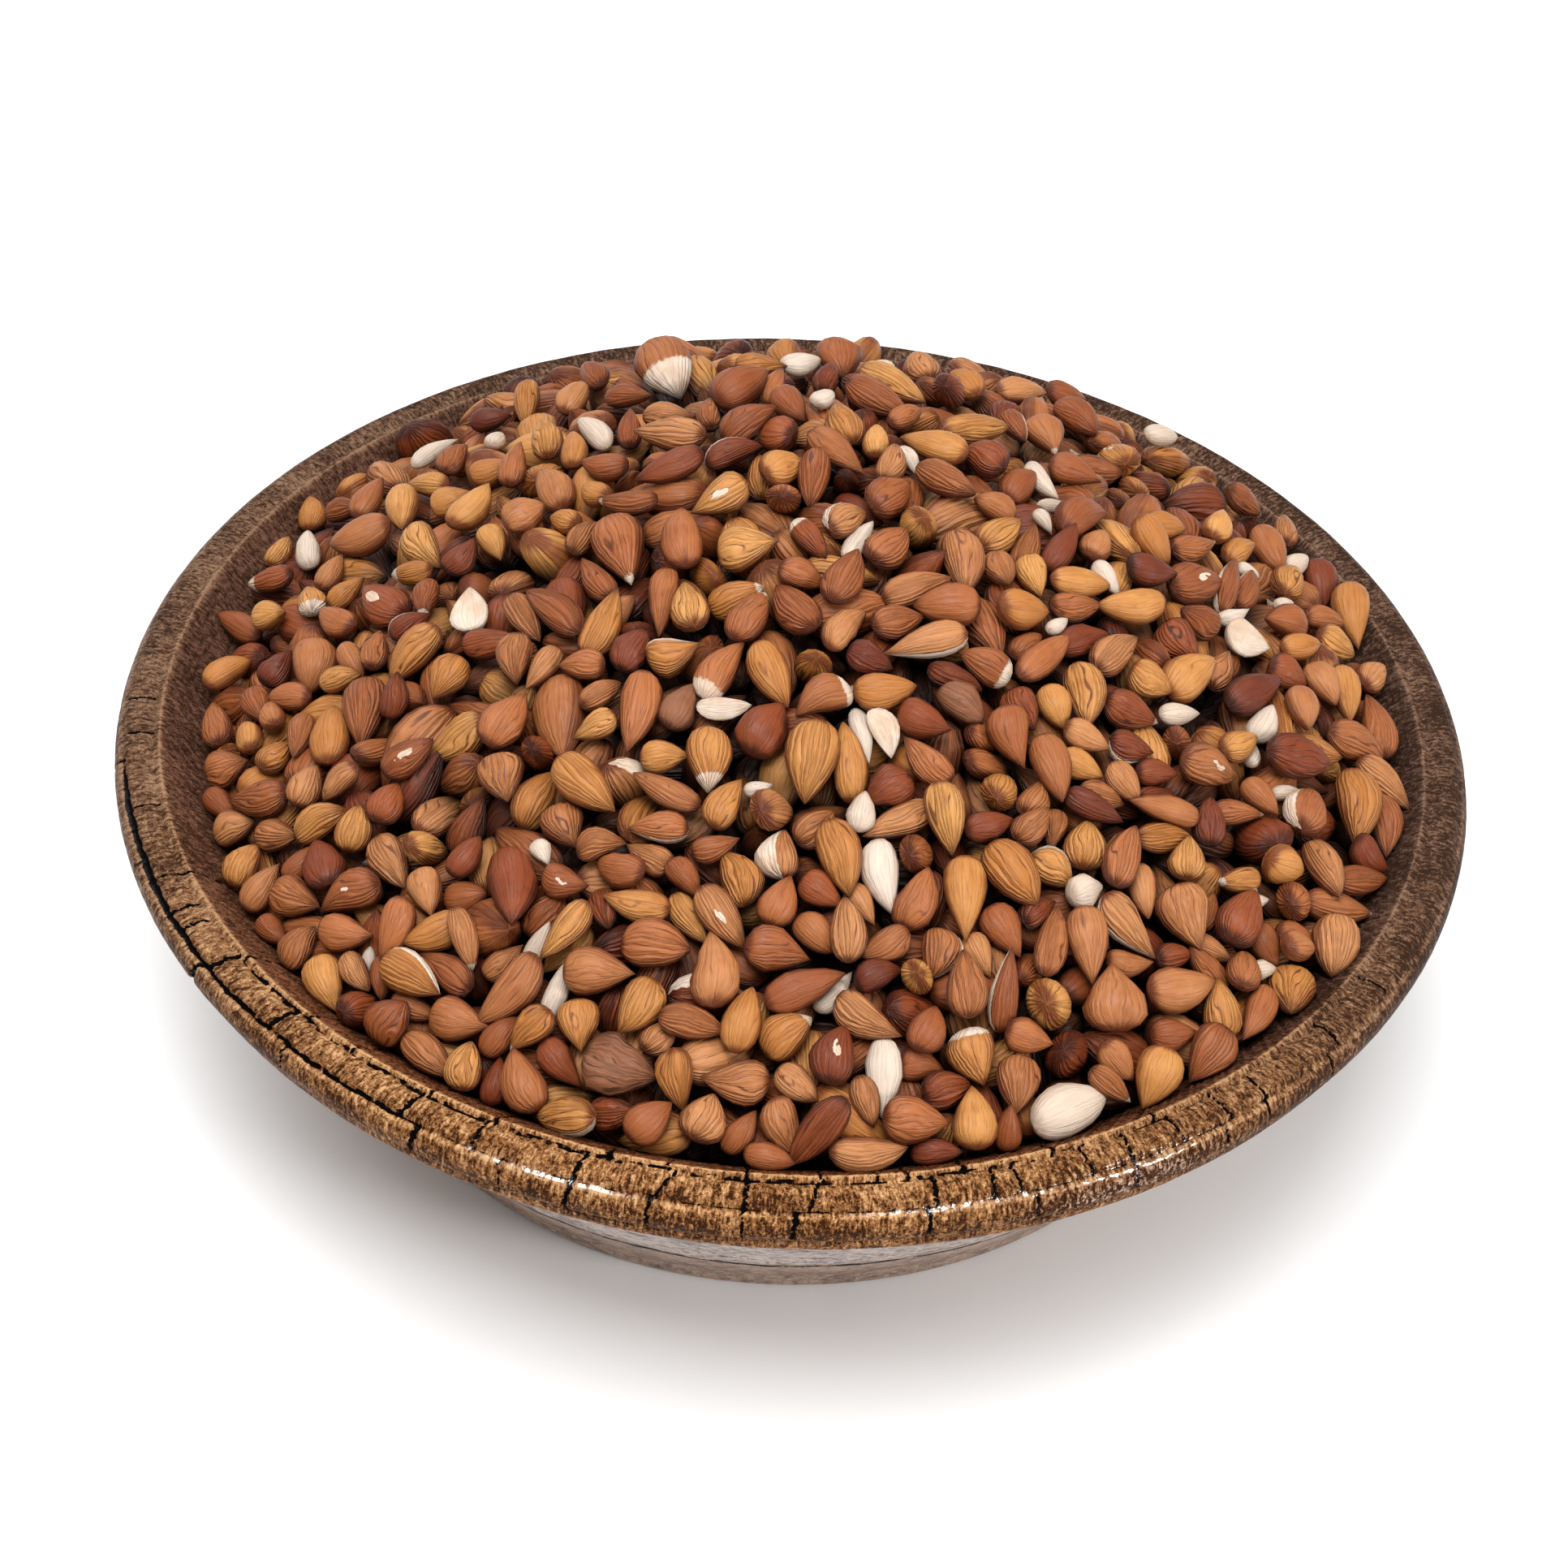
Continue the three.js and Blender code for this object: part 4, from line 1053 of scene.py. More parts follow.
def settle(centres, turns, sizes, steps):
    # each step pulls the loose kernels towards the core, then parts the deepest overlap of every touching
    # pair and lifts balls out of the core and the wall, by moving and turning the bodies about their middles
    count, pinned = len(centres), isPlaced(centres)
    free = np.where(pinned, packing["pinnedGive"], 1.0)
    pulled = np.where(pinned, 0.0, packing["pull"])[:, None]
    inertia = (sizes[:, 0] ** 2 + sizes[:, 1] ** 2) / 20
    half = (sizes[:, 1] - sizes[:, 2])[:, None] * 0.5
    local = np.stack([ballAlong * sizes[:, :1], ballSide * half, 0 * ballAlong * half], -1)
    radii = ballSizes[None] * sizes[:, 2:3]
    for step in range(steps):
        if step % packing["pairsEvery"] == 0:
            pairs = nearPairs(centres, packing["size"][0] * 1.35)
        calm = step > steps * packing["calmFrom"]
        pull = moundNormal(centres[:, 0], centres[:, 1]) * 0.75 + np.array([0, 0, 0.25])
        centres = centres - (0.0 if calm else 1.0) * pulled * pull
        arms = np.einsum("nij,nmj->nmi", turns, local)
        balls = centres[:, None] + arms
        a, b = pairs.T
        gap = balls[a][:, :, None] - balls[b][:, None]
        distance = np.linalg.norm(gap, axis=-1)
        depth = radii[a][:, :, None] + radii[b][:, None] - distance
        flat = depth.reshape(len(a), -1)
        worst = flat.argmax(1)
        deepest = flat[np.arange(len(a)), worst]
        hit = deepest > 0.01
        a, b, worst, deepest = a[hit], b[hit], worst[hit], deepest[hit]
        ia, ib = worst // len(ballSizes), worst % len(ballSizes)
        normal = balls[a, ia] - balls[b, ib]
        normal /= np.linalg.norm(normal, axis=1, keepdims=True) + 1e-9
        owner, arm, push, away = [a, b], [], [], [normal, -normal]
        arm += [arms[a, ia] - normal * radii[a, ia][:, None], arms[b, ib] + normal * radii[b, ib][:, None]]
        push += [deepest, deepest]
        weight = [free[n] * (1 + (np.cross(r, d) ** 2).sum(1) / inertia[n])
                  for n, r, d in zip(owner, arm, away)]
        total = weight[0] + weight[1] + 1e-9
        push = [p / total for p in push]

        floor = moundHeight(balls[..., 0], balls[..., 1]) - heap["layer"]
        sunk = (floor + radii - balls[..., 2]) * packing["coreFirm"]
        wall = np.hypot(balls[..., 0], balls[..., 1]) + radii * 1.2 - wallRadius(balls[..., 2])
        for over, against in ((sunk, "core"), (wall * packing["wallFirm"], "wall")):
            n, m = np.nonzero(over > 0.01)
            if against == "core":
                out = moundNormal(balls[n, m, 0], balls[n, m, 1])
            else:
                out = unit(np.stack([-balls[n, m, 0], -balls[n, m, 1], np.zeros(len(n))], 1))
                out = out * 0.75 + np.array([0, 0, 0.66])
            r = arms[n, m]
            owner.append(n)
            arm.append(r)
            away.append(out)
            push.append(over[n, m] / (1 + (np.cross(r, out) ** 2).sum(1) / inertia[n]))
        owner, arm, away, push = map(np.concatenate, (owner, arm, away, push))
        touches = np.maximum(np.bincount(owner, minlength=count), 1) ** packing["shareOut"]
        move = spreadBy(owner, away * push[:, None], count)
        spin = spreadBy(owner, np.cross(arm, away) * push[:, None], count) / inertia[:, None]
        ease = (free / touches)[:, None] * packing["ease"]
        centres = centres + np.clip(move * ease, -packing["mostMove"], packing["mostMove"])
        turns = turned(turns, np.clip(spin * ease, -packing["mostTurn"], packing["mostTurn"]))
    print(f"kernels settled, mean overlap {deepest.mean():.2f} mm, worst {deepest.max():.2f} mm,"
          f" {time.time() - startTime:.0f} s")
    return centres, turns


# kernels

kinds = {
    # share of the loose ones, then the screen colours of the skin where it is light, plain, deep and veined
    "amber": (0.26, (198, 140, 78), (172, 109, 53), (122, 65, 30), (83, 39, 18)),
    "tan": (0.23, (184, 124, 77), (155, 92, 51), (112, 58, 32), (76, 36, 19)),
    "russet": (0.28, (166, 99, 56), (137, 73, 38), (97, 46, 24), (63, 27, 14)),
    "redBrown": (0.18, (144, 74, 38), (114, 51, 25), (76, 32, 17), (42, 17, 9)),
    "dark": (0.046, (122, 58, 34), (94, 40, 22), (58, 24, 14), (32, 13, 8)),
    "blanched": (0.004, (210, 192, 175), (202, 181, 162), (189, 165, 144), (198, 177, 158)),
    "flake": (0.0, (140, 91, 63), (115, 67, 41), (80, 46, 30), (56, 31, 20)),
}
skin = {
    "veins": 21,  # lines round a kernel
    "sway": 5.0,  # how many lines they wander to the side
    "flesh": srgb(202, 172, 146),
    "fleshLight": srgb(216, 196, 178),
    # near black for painted shade deep in the heap
    "paintedHeapShade": srgb(17, 7, 5),
    "roughness": 0.45,
    "gloss": 0.25,
    "relief": 0.4,  # mm
}
kernelMesh = {"rows": 11, "columns": 14, "buriedRows": 7, "buriedColumns": 8, "buriedDepth": 9.5}

# what sets a kernel apart: skin gone past bareTip or before bareEnd along it, or past bareSide across it,
# towards the side 1 or -1; a flat white face, a torn patch, lumps, and a furrow with its angle round the
# kernel
plainLook = {
    "bareTip": 2.0, "bareEnd": -1.0, "bareSide": 2.0, "side": 1.0, "flat": 0.0, "patch": -2.0,
    "lumpy": 0.02, "furrow": 0.0, "furrowAngle": 1.4, "veined": 0.7, "endOn": 0.0,
}
looks = {
    "plain": {},
    "veined": {"veined": 1.0},
    "smooth": {"veined": 0.12},
    "tip": {"bareTip": 0.9},
    "drip": {"bareTip": 0.76},
    "halfWhite": {"bareTip": 0.52},
    "sideWhite": {"bareSide": 0.05},
    "cap": {"bareEnd": 0.17},
    "torn": {"patch": 0.3},
    "slit": {"bareSide": 0.8},
    "underSlit": {"bareSide": 0.8, "side": -1.0},
    "half": {"flat": 1.0},
    "rough": {"lumpy": 0.11, "veined": 0.3},
    "furrow": {"furrow": 0.38},
    "end": {"endOn": 1.0, "veined": 1.0},
    "husk": {"lumpy": 0.2, "veined": 1.0, "furrow": 0.5},
}


def kernelShapes(k, rows, columns):
    # a surface of two parameters. Along the kernel, t goes from 0 at the blunt end to 1 at the tip, and the
    # half width is t^blunt (1-t)^sharp over its highest value; around it the section is an ellipse with a few
    # soft lobes, a furrow at one angle and, on halves, a flat face
    u = np.linspace(0, 1, rows)[None, :, None]
    t = (1 - np.cos(np.pi * u)) / 2
    angle = np.linspace(0, 2 * np.pi, columns, endpoint=False)[None, None, :]
    c, s = np.cos(angle), np.sin(angle)
    column = {key: value[:, None, None] for key, value in k.items() if value.ndim == 1}

    def profile(blunt, sharp):
        top = blunt / (blunt + sharp)
        return t**blunt * (1 - t) ** sharp / (top**blunt * (1 - top) ** sharp)

    lobes = 1 + column["lumpy"] * (np.sin(2 * angle + column["phaseA"] + 3 * t) * 0.6
                                   + np.sin(3 * angle + column["phaseB"] - 4 * t) * 0.4
                                   + np.sin(5 * t * np.pi + column["phaseA"] + angle) * 0.35)
    turn = np.abs((angle - column["furrowAngle"] + np.pi) % (2 * np.pi) - np.pi)
    lobes = lobes - column["furrow"] * np.exp(-((turn / 0.34) ** 2)) * np.sin(np.pi * t) ** 0.5
    y = column["width"] / 2 * c * profile(0.5, column["sharp"]) * lobes
    z = column["thickness"] / 2 * s * profile(0.5, column["sharp"] * 0.8) * lobes
    z = np.maximum(z, -column["thickness"] / 2 * (1 - 0.88 * column["flat"]) * np.ones_like(z))
    y = y + column["bend"] * column["width"] * ((t - 0.45) ** 2 - 0.08) * 2
    x = column["length"] * (t - 0.46) + 0 * angle
    local = np.stack(np.broadcast_arrays(x, y, z), -1)
    world = np.einsum("kij,kabj->kabi", k["turn"], local) + k["centre"][:, None, None, :]
    place = np.stack(np.broadcast_arrays(t, c * column["side"], s), -1)
    return world, place


def kernelFaces(count, rows, columns):
    # the faces of one kernel, once for each of them
    one = gridFaces(rows, columns, True)
    return (one[None] + (np.arange(count) * rows * columns)[:, None, None]).reshape(-1, 4)


def skinMaterial(name, kind):
    # colour: the plain skin, lighter by its own random share, deep at both ends and along the two seams,
    # where the seams' darkness is partly the skin's own and partly painted edge shade, with thin veins that
    # run from end to end where the angle round the kernel, swayed by noise, passes whole steps; where the
    # skin is gone the pale flesh shows, and painted shade turns all near black deep in the heap and on the
    # kernels' lower halves; height: ridges between the veins
    light, plain, deepest, vein = (srgb(*colour) for colour in kinds[kind][1:])
    material, tree = newMaterial(name)
    t, c, s = attribute(tree, "kernelPlace").parts()
    share, buried, seed = attribute(tree, "kernelTone").parts()
    flat, veined, patch = attribute(tree, "kernelMark").parts()
    bareTip, bareEnd, bareSide = attribute(tree, "kernelBare").parts()
    place = addNode(tree, "ShaderNodeTexCoord", None, None, "Object")
    slow = noise(combined(c * 0.9, s * 0.9, t * 1.1 + seed * 31.7), 1.0, 1.0)
    fine = noise(combined(c * 7.5, s * 7.5, t * 1.9 + seed * 17.3), 1.0, 2.0, 0.6, 0.3)
    broken = noise(combined(c * 3, s * 3, t * 5 + seed * 23.1), 1.0, 1.0)
    blotch = noise(place, 240.0, 2.0, 0.6)
    grain = noise(place, 1700.0, 3.0, 0.65)
    turn = s.maths("ARCTAN2", s, c) * (skin["veins"] / (2 * math.pi)) + (slow - 0.5) * skin["sway"]
    line = abs(turn.maths("FRACT", turn) - 0.5)
    veins = line.ramp(0.13, 0.02) * (veined * 0.85 + 0.2) * (broken - 0.16) * 2.6
    ridge = line.ramp(0.1, 0.5)
    streaks = fine.ramp(0.42, 0.68)
    colour = (share + (blotch - 0.5) * 0.7).ramp(0.0, 1.0).mixed(plain, light)
    # darker along the two seams: partly the skin's own colour, partly painted edge shade
    seamSkinAndEdgeShade = abs(c).ramp(0.72, 1.0) * 0.7
    end = t.ramp(0.13, 0.0)
    deep = seamSkinAndEdgeShade + end * 0.9 + streaks * 0.25 + (0.5 - blotch) * 0.7 + t.ramp(0.78, 1.0) * 0.45
    colour = deep.ramp(0.0, 1.0).mixed(colour, deepest)
    colour = (veins.ramp(0.0, 1.0) * 0.82).mixed(colour, vein)
    ragged = (grain - 0.5) * 0.12
    torn = noise(combined(c, s, t * 2.6 + seed * 9.1), 1.6, 2.0, 0.55)
    spot = (t - 0.5) * (t - 0.5) * 14 + c * c * 7 + (torn - 0.5) * 2.4 + s.ramp(0.2, 0.0) * 4
    white = (t + ragged - bareTip).ramp(-0.02, 0.02)
    white = white.larger((bareEnd - t + ragged).ramp(-0.02, 0.02))
    white = white.larger((c + ragged - bareSide).ramp(-0.03, 0.03))
    white = white.larger(s.ramp(-0.04, -0.14) * flat)
    white = white.larger((patch - spot).ramp(0.0, 0.08))
    flesh = blotch.ramp(0.3, 0.7).mixed(skin["fleshLight"], skin["flesh"])
    colour = white.mixed(colour, flesh)
    # painted shade: near black deep in the heap and on the kernels' lower halves
    colour = (buried * 0.94).mixed(colour, skin["paintedHeapShade"])
    height = streaks * 0.2 + grain * 0.12 + ridge * veined * 0.5 - white * 0.3
    rough = skin["roughness"] + (blotch - 0.5) * 0.25
    sockets = {"Base Color": colour, "Roughness": rough, "Specular IOR Level": skin["gloss"]}
    finishMaterial(tree, sockets, height, skin["relief"] / 1000)
    return material


def lyingTurns(normal, tilt, rng):
    # rotations that lay a kernel's flat side on the mound, at any heading, tipped by up to about the tilt
    heading = rng.uniform(0, 2 * np.pi, len(normal))
    level = unit(np.cross(normal, np.stack([np.cos(heading), np.sin(heading), 0 * heading], 1)))
    turns = np.stack([level, np.cross(normal, level), normal], 2)
    return turned(turns, rng.normal(0, 1, (len(normal), 3)) * tilt[:, None])


def looseKernels(rng):
    # random middles through the layer over the core, evenly over the mound's area, most of them lying down
    reach = heap["reach"]
    count = int(packing["perArea"] * np.pi * reach**2 * 1.25)
    place = rng.uniform(-reach, reach, (count * 2, 2))
    place = place[np.hypot(*place.T) < reach - 2][:count]
    normal = moundNormal(place[:, 0], place[:, 1])
    keep = rng.uniform(size=len(place)) < 0.8 / normal[:, 2]
    place, normal = place[keep], normal[keep]
    deep = rng.uniform(packing["startUnder"], heap["layer"] - packing["startOver"], len(place))
    top = np.concatenate([place, moundHeight(*place.T)[:, None]], 1)
    centres = top - normal * deep[:, None]
    inside = np.hypot(*centres[:, :2].T) < wallRadius(centres[:, 2]) - 1.5
    centres, normal = centres[inside], normal[inside]
    upright = rng.uniform(size=len(centres)) < packing["upright"]
    turns = lyingTurns(normal, np.where(upright, 3.0, packing["lying"]), rng)
    size = np.exp(rng.normal(0, packing["spread"], len(centres)))[:, None]
    sizes = size * np.array(packing["size"])
    return centres, turns, sizes * np.exp(rng.normal(0, 0.06, sizes.shape))


def fillingKernels(centres, pinned, rng):
    # kernels for the hollows that are left near the surface, where they hide little of the placed ones
    reach = heap["reach"] - 4
    place = rng.uniform(-reach, reach, (packing["fillTries"], 2))
    place = place[np.hypot(*place.T) < reach - 1]
    normal = moundNormal(*place.T)
    tries = np.concatenate([place, moundHeight(*place.T)[:, None]], 1) - normal * packing["fillDepth"]
    room = np.hypot(*tries[:, :2].T) < wallRadius(tries[:, 2]) - 3
    tries, normal = tries[room], normal[room]
    crowd = np.concatenate([tries, centres])
    pairs = nearPairs(crowd, packing["fillGap"])
    taken = np.zeros(len(tries), bool)
    first, second = pairs[pairs[:, 0] < len(tries)].T
    taken[first[second >= len(tries)]] = True
    order = np.lexsort((second, first))
    for a, b in zip(first[order], second[order]):
        if b < len(tries) and not taken[a]:
            taken[b] = True
    free = ~taken & ~hidesPinned(tries, *pinned, *packing["clearFilling"])
    turns = lyingTurns(normal[free], np.full(free.sum(), packing["lying"]), rng)
    size = np.exp(rng.normal(0, packing["spread"], free.sum()))[:, None] * packing["fillSize"]
    return tries[free], turns, size * np.array(packing["size"])


placing = {
    "length": (8.0, 16.0),  # smallest and largest kernel in mm
    "width": (4.5, 11.5),
    "thickness": (4.4, 7.0),
    "flatness": 0.8,  # thickness against width
    "chip": 0.6,  # size of the smallest blanched piece against the smallest kernel, because some are broken
    "leaning": 0.75,  # slope towards the camera or away from it, at most
    "sunk": 0.42,  # depth of the middle under the mound as a share of the thickness
    "underShare": 0.8,  # how deep a placed kernel lies under a larger one, by their overlap, and at most
    "underMost": 4.0,
    "whiteUnder": 1.0,  # blanched kernels lie this much deeper, as they do in the photograph
}


def pinnedKernels():
    # the kernels that stand out in the photograph, laid on the mound where their pixels meet it
    pixels = np.stack([placedValues("x"), placedValues("y")], 1).astype(float)
    heading = np.radians(placedValues("tip"))[:, None]
    endOn, flat = (np.array([looks[name].get(key, 0.0) for name in placedValues("look")])[:, None]
                   for key in ("endOn", "flat"))
    surface = onMound(pixels)
    pixelSize = np.linalg.norm(surface - cameraPlace(), axis=1) / camera["focal"]
    chip = np.where(placedValues("kind") == "blanched", placing["chip"], 1.0)

    def within(values, name):
        low, high = placing[name]
        return np.clip(values, low * chip, high)

    width = within(placedValues("width") * pixelSize, "width")
    thickness = within(width * placing["flatness"], "thickness")
    right, up, back = screenAxes()
    normal = moundNormal(surface[:, 0], surface[:, 1])
    flatWay = np.cos(heading) * right + np.sin(heading) * up
    lean = -(flatWay * normal).sum(1) / (normal @ back)
    lean = np.clip(lean, -placing["leaning"], placing["leaning"])[:, None]
    axis = unit(np.where(endOn > 0, 0.3 * flatWay - back, flatWay + lean * back))
    shown = np.sqrt(1 - (axis @ back) ** 2)
    length = within(placedValues("length") * pixelSize / shown, "length")
    length = np.where(endOn[:, 0] > 0, packing["size"][0], length)
    facing = normal * 0.5 + back
    facing = unit(facing - (facing * axis).sum(1)[:, None] * axis)
    facing = np.where(flat > 0, -facing, facing)
    turns = np.stack([axis, np.cross(facing, axis), facing], 2)
    centres = onMound(pixels, np.where(endOn[:, 0] > 0, length, thickness) * placing["sunk"])
    return underLarger(centres, length, width, back), turns, np.stack([length, width, thickness], 1)


def underLarger(centres, length, width, back):
    # where two placed kernels overlap, the smaller is the one partly hidden, and lies deeper along the view
    gap = np.linalg.norm(centres[:, None] - centres[None], axis=2)
    radius = (0.35 * length + 0.65 * width) / 2
    overlap = radius[:, None] + radius[None] - gap
    area = length * width
    under = (overlap > 0) & (area[:, None] < area[None])
    sunk = np.clip((overlap * under).sum(1) * placing["underShare"], 0, placing["underMost"])
    sunk += placing["whiteUnder"] * (placedValues("kind") == "blanched")
    return centres - sunk[:, None] * back


def hidesPinned(centres, pinnedCentres, turns, sizes, margin, front):
    # which loose kernels come before a pinned one, as seen by the camera
    right, up, back = screenAxes()
    hidden = np.zeros(len(centres), bool)
    for centre, turn, size in zip(pinnedCentres, turns, sizes):
        gap = centres - centre
        ahead = gap @ back
        across = np.stack([gap @ right, gap @ up], 1)
        axis = np.array([turn[:, 0] @ right, turn[:, 0] @ up]) * size[0] / 2
        along = np.clip(across @ axis / (axis @ axis + 1e-9), -0.8, 0.8)
        beside = np.linalg.norm(across - along[:, None] * axis, axis=1)
        hidden |= (beside < size[1] * 0.5 + margin) & (ahead > front)
    return hidden


def topHeights(centres, turns, sizes):
    # about how high each kernel reaches
    return centres[:, 2] + sizes[:, 2] * 0.5 + np.abs(turns[:, 2, 0]) * (sizes[:, 0] - sizes[:, 2]) * 0.5


def lookValues(names):
    # every value of the kernels' looks, the plain one where a look doesn't name it
    return {key: np.array([looks[n].get(key, plain) for n in names], float)
            for key, plain in plainLook.items()}


def settledKernels(rng):
    # loose and placed kernels settle together, the hollows are filled and all settle again; loose ones that
    # stand too high or come before placed ones are left out
    loose, pinned = looseKernels(rng), pinnedKernels()
    clear = ~hidesPinned(loose[0], *pinned, *packing["clear"])
    kernels = [np.concatenate([some[clear], own]) for some, own in zip(loose, pinned)]
    print(f"{clear.sum()} loose kernels and {len(placed)} placed ones to settle")
    kernels[:2] = settle(*kernels, packing["steps"])
    high = topHeights(*kernels) > moundHeight(*kernels[0][:, :2].T) + packing["proud"]
    high &= ~isPlaced(high)
    print(f"{high.sum()} loose kernels stand too high")
    kernels = [part[~high] for part in kernels]
    own = isPlaced(kernels[0])
    filling = fillingKernels(kernels[0], [part[own] for part in kernels], rng)
    print(f"{len(filling[0])} more in the hollows")
    kernels = [np.concatenate(two) for two in zip(filling, kernels)]
    kernels[:2] = settle(*kernels, packing["fillSteps"])
    centres = kernels[0]
    centres[:, 2] -= np.maximum(topHeights(*kernels) + 0.3 - boxBefore[1][2] * 1000, 0)
    own = isPlaced(centres)
    filled = np.arange(len(centres)) < len(filling[0])
    margin = np.where(filled, packing["clearLastFilling"], packing["clearLast"])
    hidden = hidesPinned(centres, *(part[own] for part in kernels), margin, packing["clearLastBefore"]) & ~own
    hidden |= filled & (topHeights(*kernels) > moundHeight(*centres[:, :2].T) + packing["proud"] / 2)
    print(f"{hidden.sum()} kernels before the placed ones left out")
    return [part[~hidden] for part in kernels]


def addKernels():
    # the settled kernels, each with its kind, its look and its own small differences, as one piece for each
    # kind and one for those that lie deep
    rng = np.random.default_rng(packing["seed"])
    centres, turns, sizes = settledKernels(rng)
    count = len(centres)
    loose = count - len(placed)
    normal = moundNormal(centres[:, 0], centres[:, 1])
    depth = (moundHeight(centres[:, 0], centres[:, 1]) - centres[:, 2]) * normal[:, 2]
    names = list(kinds)
    kindNames = rng.choice(names, loose, p=np.array([kinds[n][0] for n in names])).tolist()
    kindNames = np.array(kindNames + placedValues("kind").tolist())
    lookNames = rng.choice(list(looseLooks), loose, p=list(looseLooks.values())).tolist()
    k = lookValues(lookNames + placedValues("look").tolist())
    k.update({
        "centre": centres, "turn": turns,
        "length": sizes[:, 0], "width": sizes[:, 1], "thickness": sizes[:, 2],
        "sharp": rng.uniform(0.72, 1.15, count),
        "bend": rng.normal(0, 0.16, count),
        "phaseA": rng.uniform(0, 6.28, count), "phaseB": rng.uniform(0, 6.28, count),
        "share": np.clip(rng.normal(0.42, 0.3, count), 0, 1),
        "seed": rng.uniform(0, 1, count),
    })
    k["lumpy"] = k["lumpy"] + np.abs(rng.normal(0, 0.02, count))
    k["veined"] = np.clip(k["veined"] + rng.normal(0, 0.22, count), 0.05, 1) * (kindNames != "blanched")
    buried = (depth > kernelMesh["buriedDepth"]) & ~isPlaced(depth)
    for name in names:
        addKind(name, k, (kindNames == name) & ~buried, kernelMesh["rows"], kernelMesh["columns"], name)
    # the deep ones, which painted shade turns near black, as one piece
    addKind("buried", k, buried, kernelMesh["buriedRows"], kernelMesh["buriedColumns"], "russet")


def addKind(name, k, which, rows, columns, kind):
    # the kernels of one kind as one piece, with painted shade that darkens their points the deeper they lie
    # under the mound and on each kernel's lower half
    some = {key: value[which] for key, value in k.items()}
    count = int(which.sum())
    points, place = kernelShapes(some, rows, columns)

    def perPoint(*keys):
        values = np.stack([some[key] for key in keys], -1)
        return np.broadcast_to(values[:, None, None], points.shape).copy()

    marks, bare = perPoint("flat", "veined", "patch"), perPoint("bareTip", "bareEnd", "bareSide")
    toneAndShade = perPoint("share", "share", "seed")
    # painted shade: the deeper a point lies under the mound, and on each kernel's lower half, the darker its
    # colour
    under = moundHeight(points[..., 0], points[..., 1]) - points[..., 2]
    out = moundNormal(some["centre"][:, 0], some["centre"][:, 1])
    below = -np.einsum("nijk,nk->nij", points - some["centre"][:, None, None], out)
    under = under + heap["paintedUndersideShade"] * np.maximum(below, 0)
    toneAndShade[..., 1] = np.clip((under - heap["lit"]) / (heap["dark"] - heap["lit"]), 0, 1)
    attributes = {"kernelPlace": place.reshape(-1, 3), "kernelTone": toneAndShade.reshape(-1, 3),
                  "kernelMark": marks.reshape(-1, 3), "kernelBare": bare.reshape(-1, 3)}
    material = skinMaterial(name + "Skin", kind)
    points, faces = points.reshape(-1, 3), kernelFaces(count, rows, columns)
    addPiece(name + "Kernels", points, faces, material, attributes, "almond_heap")


core = {
    "rings": 24,
    "columns": 64,
    "shares": (0.001, 0.985),  # of the wall's radius at the height of its edge, at its middle and at its edge
    "edge": 45.0,
    "wallHeights": (38.0, 30.0, 22.0, 16.0),
    "wallShare": 0.97,
    "bottom": ((60.0, 11.0), (0.05, 11.0)),  # radius and height
}


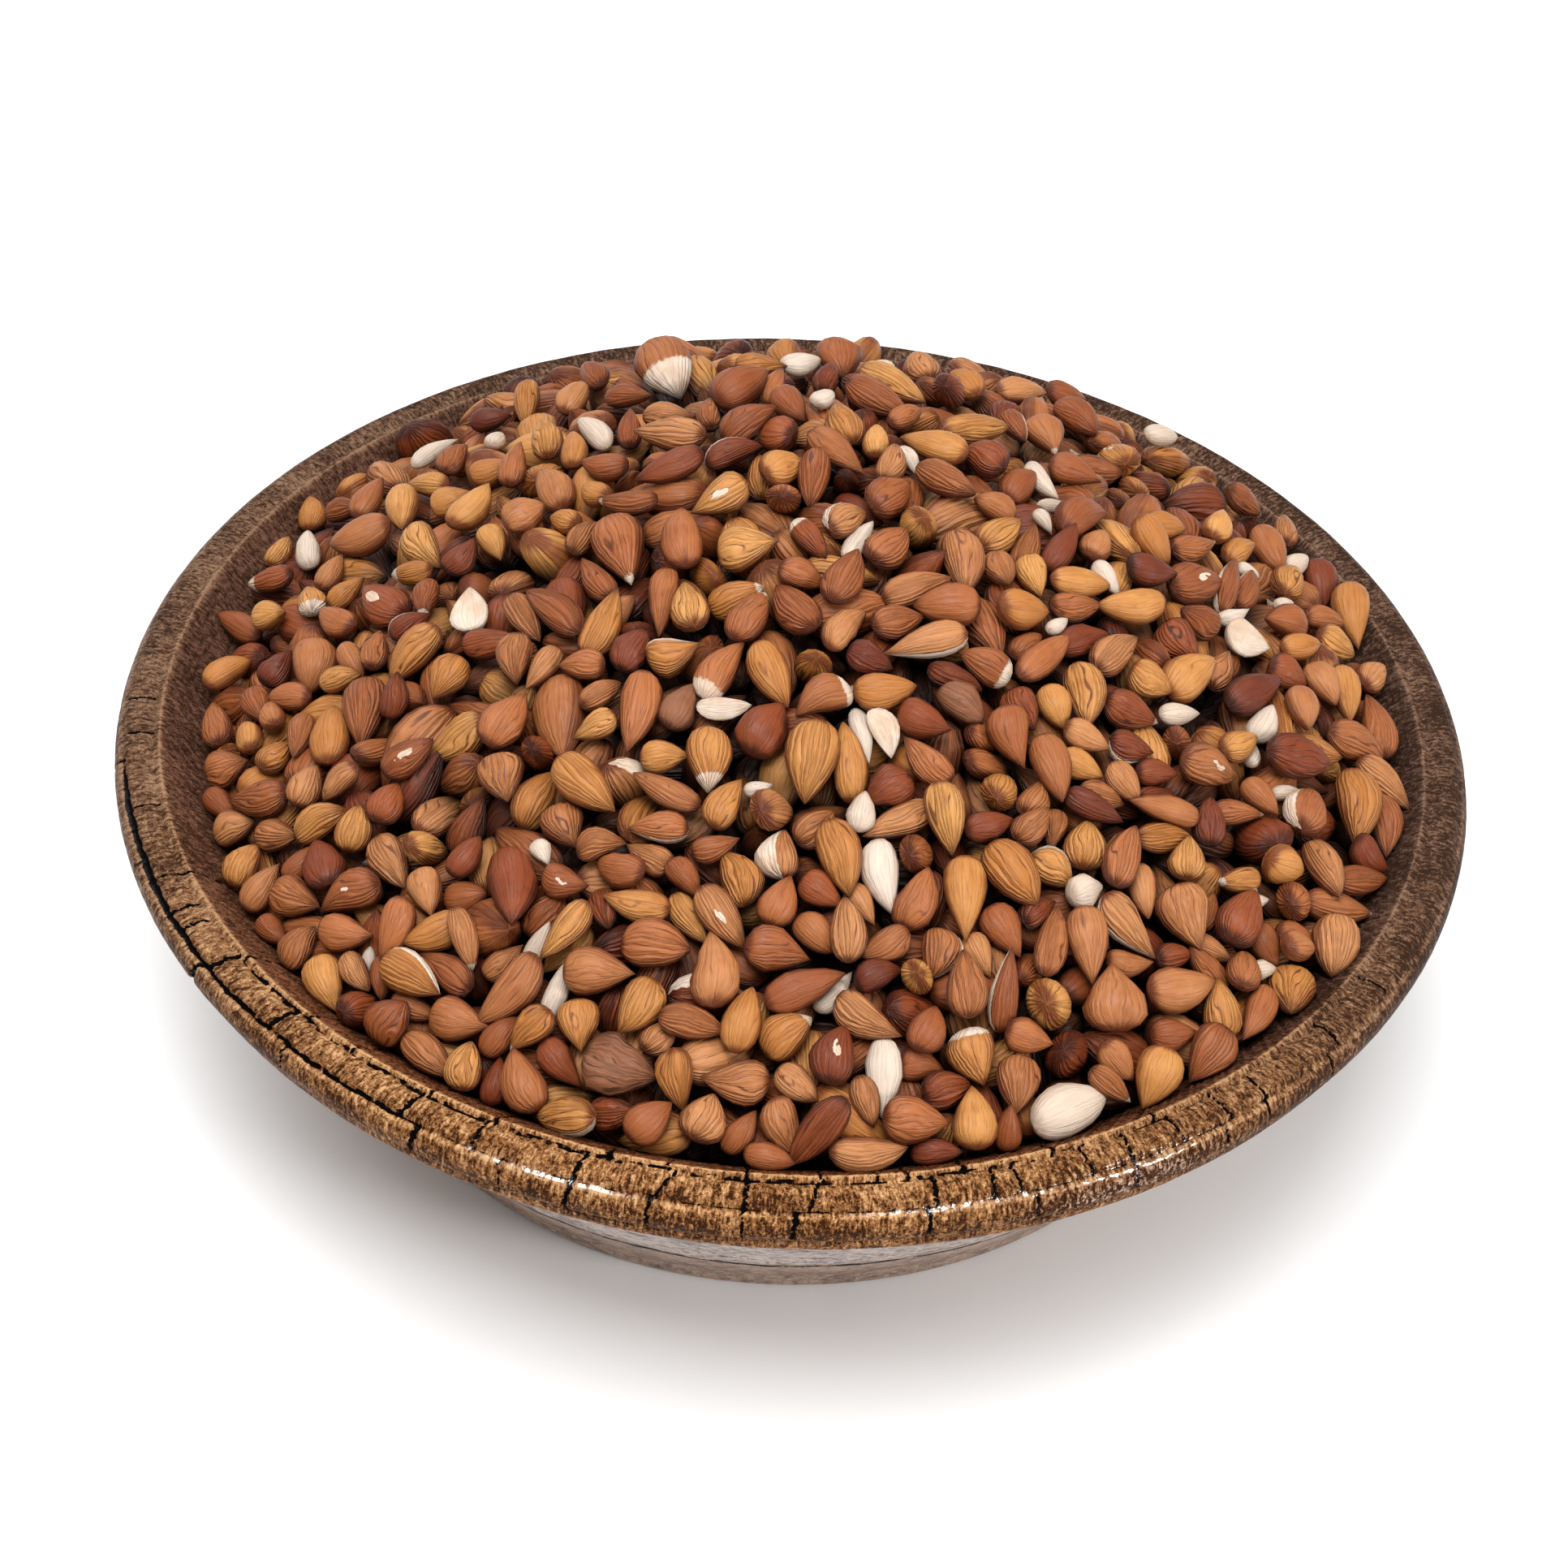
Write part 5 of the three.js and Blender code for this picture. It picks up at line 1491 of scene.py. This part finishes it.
def addCore():
    # the mound lowered by the depth of the loose layer, closed below by the inside of the bowl, painted near
    # black all over as shade
    columns = core["columns"]
    share = np.linspace(*core["shares"], core["rings"])[:, None]
    angle = np.linspace(0, 2 * np.pi, columns, endpoint=False)[None]
    r = share * (wallRadius(np.array(core["edge"])) + 0 * angle)
    x, y = r * np.cos(angle), r * np.sin(angle)
    z = moundHeight(x, y) - heap["layer"]
    top = np.stack([x, y, z], -1)
    low = [(wallRadius(np.array(h)) * core["wallShare"], h) for h in core["wallHeights"]]
    ring = np.array([[radius * np.cos(angle[0]), radius * np.sin(angle[0]), np.full(columns, height)]
                     for radius, height in (*low, *core["bottom"])])
    points = np.concatenate([top, ring.transpose(0, 2, 1)])
    mark = np.zeros_like(points)
    # painted shade: the whole core is near black
    toneAndShade = mark + np.array([0.0, 1.0, 0.5])
    material = skinMaterial("coreSkin", "dark")
    faces = gridFaces(len(points), columns, True)
    attributes = {"kernelPlace": mark + 0.5, "kernelTone": toneAndShade, "kernelMark": mark,
                  "kernelBare": mark + np.array([2.0, -1.0, 2.0])}
    attributes = {key: value.reshape(-1, 3) for key, value in attributes.items()}
    addPiece("heapCore", points.reshape(-1, 3), faces, material, attributes, "almond_heap")


# floor and light

studio = {
    "floor": srgb(252, 252, 252),
    "half": 6.0,  # metres from the middle to the sides of the floor
    "sky": 0.4,
    "aim": (0, 0, 0.05),  # metres, where the lights point
    "over": {"place": (-0.1, -0.35, 1.3), "size": (0.8, 0.8), "power": 19.3},
    "window": {"place": (1.0, -0.7, 0.62), "size": (0.22, 0.42), "power": 8.0},
    "back": {"place": (-0.5, 1.0, 1.0), "size": (0.9, 0.9), "power": 7.0},
}


def addStudio():
    half = studio["half"]
    corners = [(-half, -half, 0), (half, -half, 0), (half, half, 0), (-half, half, 0)]
    mesh = bpy.data.meshes.new("floor")
    mesh.from_pydata(corners, [], [(0, 1, 2, 3)])
    material, tree = newMaterial("paleFloor")
    finishMaterial(tree, {"Base Color": studio["floor"], "Roughness": 0.9})
    mesh.materials.append(material)
    floor = bpy.data.objects.new("floor", mesh)
    bpy.context.scene.collection.objects.link(floor)
    world = bpy.data.worlds.new("studio")
    world.use_nodes = True
    background = world.node_tree.nodes["Background"]
    background.inputs["Color"].default_value = (1, 1, 1, 1)
    background.inputs["Strength"].default_value = studio["sky"]
    bpy.context.scene.world = world
    bpy.context.scene.view_settings.view_transform = "Standard"
    for name in ("over", "window", "back"):
        values = studio[name]
        data = bpy.data.lights.new(name, "AREA")
        data.energy, data.shape = values["power"], "RECTANGLE"
        data.size, data.size_y = values["size"]
        light = bpy.data.objects.new(name, data)
        turn = (Vector(values["place"]) - Vector(studio["aim"])).to_track_quat("Z", "Y")
        light.matrix_world = Matrix.Translation(values["place"]) @ turn.to_matrix().to_4x4()
        bpy.context.scene.collection.objects.link(light)


addCamera()
addStudio()
addBowl()
addCore()
addKernels()

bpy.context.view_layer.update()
print(f"scene ready after {time.time() - startTime:.0f} s")
